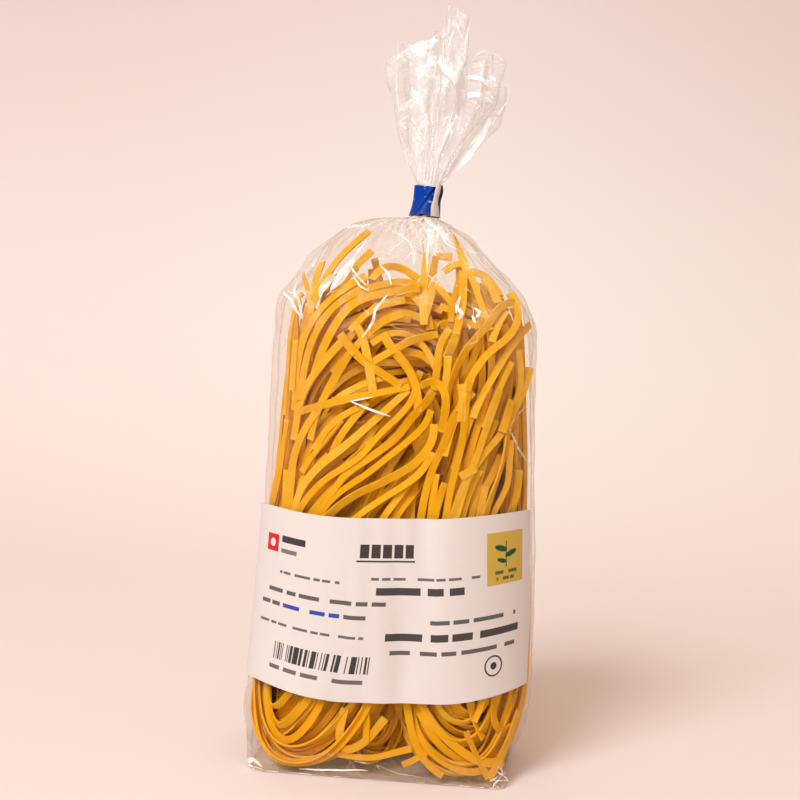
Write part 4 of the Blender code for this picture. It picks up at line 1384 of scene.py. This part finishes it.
MIDDLE_LEFT = [
    ([(1.7, 154.4), (-7.1, 145.3), (-16.6, 135.7), (-23.6, 129.0), (-31.3, 122.4), (-37.1, 114.6),
      (-39.7, 108.6), (-40.9, 99.7)], 1.5),
    ([(4.7, 155.4), (3.2, 149.1), (-2.9, 142.1), (-9.5, 135.0), (-13.7, 128.5), (-19.3, 123.9),
      (-26.9, 118.9), (-32.3, 113.6), (-38.1, 104.9), (-41.0, 96.5)], 1.2),
    ([(11.4, 154.6), (8.6, 149.0), (2.8, 143.2), (0.1, 137.2), (-5.4, 132.2), (-13.2, 125.8),
      (-20.6, 120.2), (-25.3, 112.0), (-30.4, 102.8), (-34.0, 94.8)], 1.4),
    ([(11.1, 147.2), (9.5, 141.3), (5.2, 136.7), (-0.3, 131.4), (-6.5, 125.9), (-12.8, 120.1),
      (-20.3, 114.8), (-26.3, 108.8), (-30.3, 102.1), (-33.6, 94.9)], 1.1),
    ([(12.6, 141.9), (13.0, 136.1), (10.2, 130.8), (5.9, 125.5), (-0.0, 121.7), (-7.1, 117.3),
      (-15.8, 112.9), (-23.3, 106.8), (-28.6, 100.7)], 1.0),
    ([(12.5, 131.0), (10.2, 124.5), (6.2, 120.0), (-0.4, 115.0), (-5.6, 111.5), (-11.9, 106.4),
      (-19.3, 100.0)], 1.6),
    ([(3.3, 117.1), (0.5, 112.2), (-3.0, 107.0), (-6.5, 100.9)], 2.2),
    ([(-19.2, 122.3), (-24.6, 113.2), (-29.0, 104.8), (-32.6, 96.9)], 2.0),
    ([(-33.9, 143.4), (-39.3, 134.2), (-41.5, 128.3), (-42.9, 121.3), (-42.8, 113.3),
      (-43.2, 99.2)], 1.8),
    ([(-46.2, 139.1), (-46.9, 127.7), (-47.9, 120.7), (-49.7, 112.2), (-51.5, 101.5)], 1.4),
    ([(-45.1, 119.0), (-45.3, 109.3), (-44.1, 99.0)], 2.0),
    ([(-23.3, 141.0), (-29.6, 131.9), (-34.6, 125.8), (-38.5, 119.0)], 2.8),
    ([(-14.0, 148.7), (-19.7, 140.5), (-25.1, 132.3), (-27.0, 125.1)], 2.2),
    ([(-17.4, 146.1), (-23.0, 143.0), (-29.5, 136.6), (-33.9, 128.3)], 2.8),
    ([(-10.0, 140.3), (-13.7, 131.9), (-17.5, 124.2)], 3.4),
    ([(8.0, 138.8), (8.9, 131.8)], 8.5),
    ([(7.7, 137.4), (6.7, 129.1), (5.6, 122.3)], 6.0),
    ([(0.4, 130.8), (-3.1, 124.7), (-5.9, 118.6)], 4.8),
    ([(6.6, 119.3), (5.9, 111.7), (6.1, 102.7)], 5.5),
    ([(3.2, 111.1), (0.1, 103.9)], 6.5),
    ([(-8.0, 134.2), (-14.7, 129.1), (-21.4, 122.3), (-28.7, 116.1)], 3.6),
]
MIDDLE_RIGHT = [
    ([(26.9, 155.3), (22.9, 150.3), (19.1, 143.1), (17.3, 135.2), (13.6, 126.0), (12.1, 120.4),
      (10.6, 112.4), (9.7, 102.6)], 2.0),
    ([(24.9, 155.9), (24.3, 147.7), (24.3, 141.1), (23.7, 133.3), (21.9, 124.3), (20.2, 114.5),
      (19.4, 103.5)], 1.3),
    ([(33.1, 157.2), (28.1, 149.1), (25.8, 142.3), (24.0, 134.5), (21.5, 124.6)], 1.8),
    ([(37.5, 156.7), (34.9, 147.1), (32.6, 140.0), (30.4, 131.3), (28.1, 124.6), (24.8, 116.3),
      (21.6, 105.2)], 1.1),
    ([(41.9, 147.4), (39.6, 139.0), (34.3, 133.7), (29.6, 126.5), (26.2, 119.0), (24.4, 110.7),
      (22.9, 103.7)], 1.6),
    ([(47.0, 158.3), (43.8, 148.6), (41.8, 142.6)], 1.4),
    ([(42.2, 142.7), (41.5, 133.9), (40.1, 124.8), (37.1, 115.8), (34.2, 104.8)], 1.3),
    ([(43.4, 137.1), (43.3, 127.1), (43.4, 119.2), (39.1, 110.2), (36.7, 103.9)], 1.8),
    ([(34.4, 118.9), (33.3, 111.9), (32.3, 104.0)], 0.9),
    ([(30.0, 125.8), (24.0, 122.1)], 1.0),
    ([(31.7, 125.0), (27.9, 116.6), (25.5, 105.2)], 2.2),
    ([(18.4, 119.3), (16.4, 113.0), (15.5, 103.1)], 2.0),
    ([(15.0, 122.5), (14.1, 112.6), (13.6, 102.8)], 3.2),
    ([(47.7, 125.0), (47.5, 115.4), (44.4, 105.2)], 2.0),
    ([(39.4, 131.0), (36.7, 121.9), (31.7, 113.9), (29.1, 105.3)], 2.6),
    ([(21.0, 144.7), (19.1, 138.4), (17.3, 129.7)], 3.0),
    ([(36.8, 144.7), (32.7, 135.1), (27.6, 127.9)], 3.2),
    ([(45.5, 140.9), (46.4, 128.8), (48.5, 116.6)], 3.5),
]
LOOSE_LOW = [
    ([(-8, 36), (-6, 24), (-6, 15)], 2.0),
    ([(-15, 28), (-17, 15), (-15, 10), (-7, 14), (1, 25)], 2.4),
    ([(-17, 9), (-5, 8), (3, 10), (12, 13)], 3.0),
    ([(9, 6), (14, 9), (19, 13)], 2.0),
    ([(8, 36), (12, 19), (19, 7), (25, 3.5)], 1.6),
    ([(39, 38), (38, 30), (36, 26)], 1.2),
    ([(33, 40), (35, 28), (40, 19)], 1.6),
    ([(33, 22), (38, 12), (43, 4)], 1.4),
    ([(43, 4), (47, 9), (51, 18), (54, 28)], 1.2),
    ([(43, 38), (44, 24), (48, 20), (54, 23)], 1.2),
    ([(12, 36), (21, 23), (29, 16), (39, 10), (49, 9)], 1.2),
]


def add_loose(ribbons, strands):
    for stations, inset in strands:
        line = smooth_line(np.array(stations, float), 2.2)
        n = len(line)
        x, z = line[:, 0], line[:, 1]
        y = depth_inside(x, z, inset + np.abs(slow_noise(n, 2, 0.5)))
        line = np.column_stack([x, y, z])
        ease(line, 6)
        turn = draw.normal(0, 0.16) + slow_noise(n, 2, 0.24)
        width = RIBBON_WIDTH * draw.uniform(0.82, 1.16)
        ribbons.add(line, out_of_bag(line), width=width, twist=turn, tone=draw.uniform(0.2, 1.0))


loose = Ribbons()
add_loose(loose, HIGH_LEFT + HIGH_RIGHT + MIDDLE_LEFT + MIDDLE_RIGHT + LOOSE_LOW)
loose.make("pasta_loose")

# %% [markdown]
# ## Ribbons across the top
#
# From above one looks through the clear shoulders at the bends of both hanks, and down between them.
# Short ribbons lie across that gap from left to right, each a little arched and at a height of its
# own, so the core doesn't show. Their broad side faces up.

# %% Short ribbons over the core
PASTA_TOP = 183.0


def add_tops(ribbons, count, n=40):
    for across in np.linspace(-17, 17, count):
        middle_x, half = draw.uniform(-24, 24), draw.uniform(14, 26)
        x = np.linspace(middle_x - half, middle_x + half, n)
        z = PASTA_TOP - ((x + 2) / 40) ** 2 * 16 + slow_noise(n, 2, 1.6) - draw.uniform(0, 7)
        line = np.column_stack([x, across + slow_noise(n, 2, 3.0), z])
        ribbons.add(line, np.tile([0.0, 0.0, 1.0], (n, 1)))


top = Ribbons()
add_tops(top, 46)
top.make("pasta_top")

# %% [markdown]
# ## Floor and wall
#
# The bag stands on a pale sheet that curves up behind it, the usual way to lose the horizon. It is
# scenery and no part of the bag. Its colour changes slowly from warm white to a warm grey, by place on
# the sheet alone: painted shade for the real fall of light towards its edges.

# %% The sweep
SWEEP_PALE, SWEEP_FALLOFF_SHADE = (0.90, 0.865, 0.845), (0.74, 0.63, 0.60)
SWEEP_FRONT, SWEEP_FLAT, SWEEP_RADIUS, SWEEP_TOP, SWEEP_SIDE = -1800.0, 400.0, 1000.0, 3000.0, 3000


def sweep_finish():
    f = Finish("sweep")
    place = f.place()
    x, y, z = (f.add("ShaderNodeSeparateXYZ", None, [place], output=k) for k in range(3))
    # Painted shade: the sheet darkens by place towards its front, its top and both sides, for the fall of
    # the light.
    painted_falloff = 0.5 * (1 - y.steps(0.1, 1.0)) + 0.55 * z.steps(0.2, 0.9) + 0.22 * x.steps(-0.1, 0.75)
    painted_falloff = painted_falloff + 0.38 * (1 - x.steps(-0.7, 0.1))
    painted_falloff = painted_falloff + (f.noise(2.0, 1.0) - 0.5) * 0.06
    colour = f.blend(painted_falloff.both(1.0), SWEEP_PALE, SWEEP_FALLOFF_SHADE)
    return f.finish(f.principled(Base_Color=colour, Roughness=0.9))


def make_sweep():
    run = [(SWEEP_FRONT, 0.0), (-SWEEP_FLAT, 0.0), (0.0, 0.0), (SWEEP_FLAT, 0.0)]
    for degrees in range(3, 91, 3):
        a = math.radians(degrees)
        run.append((SWEEP_FLAT + SWEEP_RADIUS * math.sin(a), SWEEP_RADIUS - SWEEP_RADIUS * math.cos(a)))
    run.append((SWEEP_FLAT + SWEEP_RADIUS, SWEEP_TOP))
    points = [(x, y, z) for y, z in run for x in np.linspace(-SWEEP_SIDE, SWEEP_SIDE, 13)]
    made = piece("sweep", points, grid_faces(len(run), 13), sweep_finish())


make_sweep()

# %% [markdown]
# ## Light
#
# One large soft lamp from the front left, slightly cool, makes the long shadow and the sparks on the
# film. A weak warm one near the camera opens the shade between the ribbons. The rest comes from the
# surroundings, warm and brighter overhead than at eye level, so that creased film has something
# bright and something dim to mirror.

# %% The lamps and the surroundings
AIM = (0, 0, 120)
WARM_ROOM = (1.0, 0.725, 0.53)


def lamp(name, place, size, power, colour):
    data = bpy.data.lights.new(name, "AREA")
    data.shape = "DISK"
    data.size = size * MM
    data.energy = power
    data.color = colour
    made = bpy.data.objects.new(name, data)
    made.location = Vector(place) * MM
    made.rotation_euler = (Vector(AIM) - Vector(place)).to_track_quat("-Z", "Y").to_euler()
    bpy.context.scene.collection.objects.link(made)


lamp("key", place=(-1418, -2184, 2342), size=1450, power=88, colour=(0.88, 0.932, 1.0))
lamp("fill", place=(-500, -2500, 1250), size=1500, power=18, colour=(1.0, 0.86, 0.76))


def surroundings():
    """A warm room, bright overhead and dim at eye level."""
    f = Finish("surroundings", world=True)
    direction = f.add("ShaderNodeTexCoord", output=0)
    height = f.add("ShaderNodeSeparateXYZ", None, [direction], output=2)
    strength = 0.185 + 0.60 * height.steps(0.12, 0.80)
    inputs = {"Color": WARM_ROOM, "Strength": strength}
    return f.finish(f.add("ShaderNodeBackground", None, inputs))


bpy.context.scene.world = surroundings()
bpy.context.scene.view_settings.view_transform = "Standard"

# %% [markdown]
# ## The paper label
#
# The label is one strip of white paper round the lower front. Its print is made of plain fields: rows
# of dashes, a block of bars, a red square with a white disc, an ochre square with a leaf sprig, and a
# ring. All of it is drawn by arithmetic on the strip's own length and height, which a UV map carries
# in units of 200 mm, so the print stays sharp at any size of render.

# %% The label's print
LABEL = dict(foot=32.0, height=73.5, tilt=math.radians(2.9), thick=0.4, gap=0.6)
LABEL_FROM, LABEL_TO = -(2 + CORNER), FRONT + 5
PRINT_SCALE = 200.0


class Print:
    """Plain fields of ink, placed in mm along the label and up it."""

    def __init__(self, finish):
        self.f = finish
        place = finish.add("ShaderNodeUVMap", dict(uv_map="print"))
        split = finish.add("ShaderNodeSeparateXYZ", None, [place])
        self.u = split * PRINT_SCALE
        self.v = Value(finish, split.socket.node.outputs[1]) * PRINT_SCALE

    def field(self, u0, u1, v0, v1):
        return self.u.above(u0).both(self.u.below(u1)).both(self.v.above(v0)).both(self.v.below(v1))

    def random(self, cell, seed):
        where = self.f.add("ShaderNodeCombineXYZ", None, [cell, float(seed), 0.0])
        return self.f.add("ShaderNodeTexWhiteNoise", dict(noise_dimensions="3D"), {"Vector": where})

    def dashes(self, u0, u1, v0, v1, length, seed):
        """A row of plain dashes of uneven length."""
        wander = (self.u * (2.1 / length) + float(seed)).join("SINE")
        along = self.u / length + 0.3 * wander + seed * 0.37
        cell, within = along.floor(), along.part()
        begin = 0.04 + 0.10 * self.random(cell, seed)
        end = 0.80 + 0.1 * self.random(cell, seed + 50)
        return self.field(u0, u1, v0, v1).both(within.above(begin).both(within.below(end)))

    def bars(self, u0, u1, v0, v1, seed):
        thin = self.random((self.u / 0.42).floor(), seed).above(0.46)
        return self.field(u0, u1, v0, v1) * thin

    def disc(self, u0, v0, radius, squash=1.0, lean=0.0):
        """A filled circle, or a leaning oval."""
        x = (self.u - u0) + (self.v - v0) * lean
        y = (self.v - v0) * squash
        return (x * x + y * y).below(radius * radius)


INK = (0.018, 0.014, 0.014)
PAPER, PAPER_GRAIN = (0.70, 0.655, 0.628), (0.665, 0.615, 0.588)
BLUE_INK, RED_INK, GREEN_INK = (0.02, 0.06, 0.42), (0.62, 0.01, 0.02), (0.008, 0.085, 0.018)
OCHRE, PALE_OCHRE = (0.52, 0.345, 0.055), (0.62, 0.42, 0.085)


def any_of(first, *others):
    for other in others:
        first = first.either(other)
    return first


def black_ink(p):
    """Everything that is printed in black."""
    blocks = p.field(62.6, 86.2, 57.8, 63.2).both((p.u / 4.8 + 0.958).part().above(0.2))
    small = any_of(p.dashes(29.2, 56.5, 46.8, 47.9, 6.0, 2), p.dashes(20.0, 68.0, 25.3, 26.4, 6.5, 3),
                   p.dashes(69.0, 113.5, 49.0, 50.1, 7.5, 4), p.dashes(29.5, 70.0, 7.2, 8.9, 13.0, 12))
    plain = any_of(p.dashes(20.2, 75.6, 38.7, 40.4, 10.0, 5), p.dashes(20.2, 70.0, 33.1, 34.8, 9.0, 6),
                   p.dashes(93.0, 130.4, 31.6, 33.3, 12.0, 7), p.dashes(78.4, 130.4, 19.2, 20.9, 12.0, 8))
    heavy = any_of(p.dashes(70.0, 107.4, 43.1, 46.1, 13.0, 9),
                   p.dashes(76.2, 132.0, 24.8, 27.8, 14.0, 10))
    ring = p.disc(119.8, 12.4, 4.3) * (1 - p.disc(119.8, 12.4, 3.6))
    return any_of(
        blocks, p.field(62.3, 86.8, 56.2, 56.9), heavy * 0.98, plain * 0.9, small * 0.86,
        p.bars(31.0, 71.5, 11.4, 18.4, 11), p.field(28.6, 40.6, 59.6, 62.4),
        p.field(28.6, 36.8, 55.2, 57.0) * 0.8, ring, p.disc(119.8, 12.4, 1.5))


def green_ink(p):
    """The leaf sprig and two rows of dashes below it, on the ochre square."""
    sprig = any_of(p.disc(123.2, 59.6, 2.5, 1.7, 1.1), p.disc(128.2, 57.2, 2.5, 1.7, -1.1),
                   p.disc(123.6, 54.6, 1.9, 1.7, 1.1), p.field(125.45, 125.95, 51.8, 62.4))
    rows = any_of(p.dashes(119.6, 131.8, 49.2, 50.6, 5.0, 13), p.dashes(120.8, 130.6, 46.7, 48.0, 4.4, 14))
    return sprig.either(rows * 0.85)


def label_finish():
    f = Finish("label")
    p = Print(f)
    grain = f.noise(900.0, 3.0, 0.6)
    fibre = f.noise(160.0, 2.0, 0.5)
    paper = f.blend(grain.steps(0.35, 0.75) * 0.3 + fibre * 0.2, PAPER, PAPER_GRAIN)
    ink = black_ink(p)
    colour = f.blend(ink * 0.96, paper, INK)
    colour = f.blend(p.field(34.0, 59.6, 31.8, 36.2) * ink, colour, BLUE_INK)
    red = p.field(19.6, 26.8, 55.0, 62.2) * (1 - p.disc(23.2, 58.6, 1.7))
    colour = f.blend(red, colour, RED_INK)
    ochre = f.blend(f.noise(45.0, 2.0), OCHRE, PALE_OCHRE)
    colour = f.blend(p.field(116.5, 134.8, 45.0, 66.2), colour, ochre)
    colour = f.blend(green_ink(p), colour, GREEN_INK)
    return f.finish(f.principled(
        Base_Color=colour, Roughness=0.5, Specular_IOR_Level=0.25, Normal=f.bump(grain, 0.12, 0.0001)))


def label_lift(column, level):
    """The paper isn't cut quite square to the bag: its ends ride up a little."""
    low = 4.6 * bell(column + 4.5, 3.2) + 5.0 * rise(column, FRONT - 0.5, FRONT + 6.5)
    high = -1 + 2.4 * bell(column + 5, 2.5) + 2.2 * rise(column, FRONT - 1, FRONT + 5)
    return low * (1 - level) + high * level


def make_label():
    rows_up = 60
    column = np.linspace(LABEL_FROM, LABEL_TO, (LABEL_TO - LABEL_FROM) * 5 + 1)
    c, level = np.meshgrid(column, np.linspace(0, 1, rows_up))
    z = LABEL["foot"] + LABEL["height"] * level
    z = z + film_point(c, z)[..., 0] * math.tan(LABEL["tilt"]) + label_lift(c, level)
    layers = [film_point(c, z, LABEL["gap"]), film_point(c, z, LABEL["gap"] + LABEL["thick"])]
    points = np.vstack([layer.reshape(-1, 3) for layer in layers])
    n = len(column)
    sheet = grid_faces(rows_up, n)
    size = rows_up * n
    faces = sheet[:, ::-1].tolist() + (sheet + size).tolist()
    rim = sheet_rim(rows_up, n)
    faces += [[a, b, b + size, a + size] for a, b in zip(rim, rim[1:] + rim[:1])]
    made = piece("paper_label", points, faces, label_finish(), node="label", slot="label", sharp=45)
    middle_row = layers[1][rows_up // 2]
    length = np.concatenate([[0], np.cumsum(np.linalg.norm(np.diff(middle_row, axis=0), axis=1))])
    along = np.tile(np.tile(length, rows_up), 2) / PRINT_SCALE
    height = np.tile(np.repeat(np.linspace(0, LABEL["height"], rows_up), n), 2) / PRINT_SCALE
    uv = made.data.uv_layers.new(name="print")
    index = np.empty(len(made.data.loops), int)
    made.data.loops.foreach_get("vertex_index", index)
    uv.data.foreach_set("uv", np.stack([along[index], height[index]], 1).ravel())
    print("label length round the bag in mm", round(float(length[-1]), 1))


make_label()

# %% [markdown]
# ## The tape
#
# A strip of glossy blue tape is wound round the neck. It is a thin band with a soft diagonal crease
# and a few pale painted glints. Its free end is turned back so that its pale underside shows, with a
# dark sheet beyond it that is painted shade of the fold. Both are thin sheets between two edges,
# listed by height, just in front of the band.

# %% The band and its free end
TAPE_PAINTED_GLINT = (0.62, 0.70, 0.86)


def tape_finish(name, first, second):
    f = Finish(name)
    cloud = f.noise(260.0, 3.0, 0.6)
    small = f.noise(900.0, 2.0, 0.6)
    # Painted glints: pale specks in the colour stand for highlights on the tape.
    painted_glint = f.noise(620.0, 1.0, 0.4).steps(0.70, 0.74) * 0.55
    colour = f.blend(painted_glint, f.blend(cloud, first, second), TAPE_PAINTED_GLINT)
    return f.finish(f.principled(
        Base_Color=colour, Roughness=0.2 + 0.2 * small, Specular_IOR_Level=0.12,
        Normal=f.bump(cloud + small * 0.15, 0.6, 0.0006)))


# height, middle x, half width and half depth of the band at its foot and at its top
TIE_FOOT, TIE_TOP = (226.4, 2.85, 6.65, 5.75), (238.2, 3.85, 5.95, 5.35)
TIE_THICK = 0.55
# height, left x and right x of the turned-back end and of the dark sheet beyond it, painted shade of the
# fold
PALE_END = [(225.7, 5.5, 9.3), (229.0, 5.4, 8.7), (232.5, 6.1, 8.3), (236.5, 6.7, 8.9), (239.3, 7.3, 9.1)]
FOLD_SHADE_END = [(230.3, 8.1, 8.7), (233.0, 8.4, 9.4), (236.6, 8.8, 10.0), (238.8, 9.0, 9.7)]


def tie_section(level):
    """Middle x, half width and half depth of the band at a share of its height."""
    return (a + (b - a) * level for a, b in zip(TIE_FOOT[1:], TIE_TOP[1:]))


def band_shell(level, turn, cut):
    """x and y of the band's outside, or of its inside where cut is its thickness."""
    mid, half_x, half_y = tie_section(level)
    diagonal = (turn - 4.55) * 5.0 - (level - 0.5) * 5.2
    pinch = bell(diagonal, 0.55) - 0.7 * bell(diagonal - 1.1, 0.6)
    waist = -0.45 * np.sin(np.pi * level)
    move = 0.10 * np.sin(5 * turn + 4 * level) + 0.32 * pinch + waist - 0.05 - cut
    return mid + (half_x + move) * np.cos(turn), (half_y + move) * np.sin(turn)


def make_band():
    rows_up, n = 40, 220
    level, turn = np.meshgrid(
        np.linspace(0, 1, rows_up), np.linspace(0, 2 * np.pi, n, endpoint=False), indexing="ij")
    z = TIE_FOOT[0] + (TIE_TOP[0] - TIE_FOOT[0]) * level + 0.35 * np.sin(2 * turn + 1.0) * (2 * level - 1)
    shells = [np.stack([*band_shell(level, turn, cut), z], -1).reshape(-1, 3) for cut in (0, TIE_THICK)]
    size = rows_up * n
    sheet = grid_faces(rows_up, n, closed=True)
    faces = sheet.tolist() + (sheet[:, ::-1] + size).tolist()
    for row in (0, rows_up - 1):
        ring = [row * n + k for k in range(n)]
        pairs = list(zip(ring, ring[1:] + ring[:1]))
        faces += [[a, a + size, b + size, b] if row == 0 else [b, b + size, a + size, a] for a, b in pairs]
    finish = tape_finish("blue_tape", (0.0003, 0.026, 0.25), (0.0006, 0.056, 0.39))
    piece("tape_band", np.vstack(shells), faces, finish, node="tie", slot="tie", sharp=45)


def make_end(name, table, lift, finish):
    """A thin sheet that lies just in front of the band, between two edges given by height."""
    table = np.array(table, float)
    rows_up, across = 30, 10
    level, share = np.meshgrid(np.linspace(0, 1, rows_up), np.linspace(0, 1, across), indexing="ij")
    z = table[0, 0] + (table[-1, 0] - table[0, 0]) * level
    left, right = (curve_through(table[:, 0], table[:, k], z) for k in (1, 2))
    x = left + (right - left) * share
    k = np.clip((z - TIE_FOOT[0]) / (TIE_TOP[0] - TIE_FOOT[0]), 0, 1)
    mid, half_x, half_y = tie_section(k)
    bow = np.sqrt(np.clip(1 - ((x - mid) / (half_x + 0.9)) ** 2, 0.02, 1))
    y = -(half_y + 0.25) * bow - lift - 0.35 * np.sin(np.pi * share) - 0.2 * np.sin(5 * level + 2 * share)
    front_side = np.stack([x, y, z], -1).reshape(-1, 3)
    back_side = front_side + (0, 0.16, 0)
    size = rows_up * across
    sheet = grid_faces(rows_up, across)
    rim = sheet_rim(rows_up, across)
    faces = sheet.tolist() + (sheet[:, ::-1] + size).tolist()
    faces += [[b, a, a + size, b + size] for a, b in zip(rim, rim[1:] + rim[:1])]
    piece(name, np.vstack([front_side, back_side]), faces, finish, node="tie", slot="tie", sharp=50)


make_band()
underside = tape_finish("tape_underside", (0.55, 0.48, 0.45), (0.74, 0.67, 0.64))
make_end("tape_pale_end", PALE_END, 0.35, underside)
# Painted shade: a dark sheet for the tape's fold in shade.
fold_shade = tape_finish("tape_fold_painted_shade", (0.004, 0.008, 0.05), (0.010, 0.018, 0.10))
make_end("tape_end_painted_shade", FOLD_SHADE_END, 0.10, fold_shade)
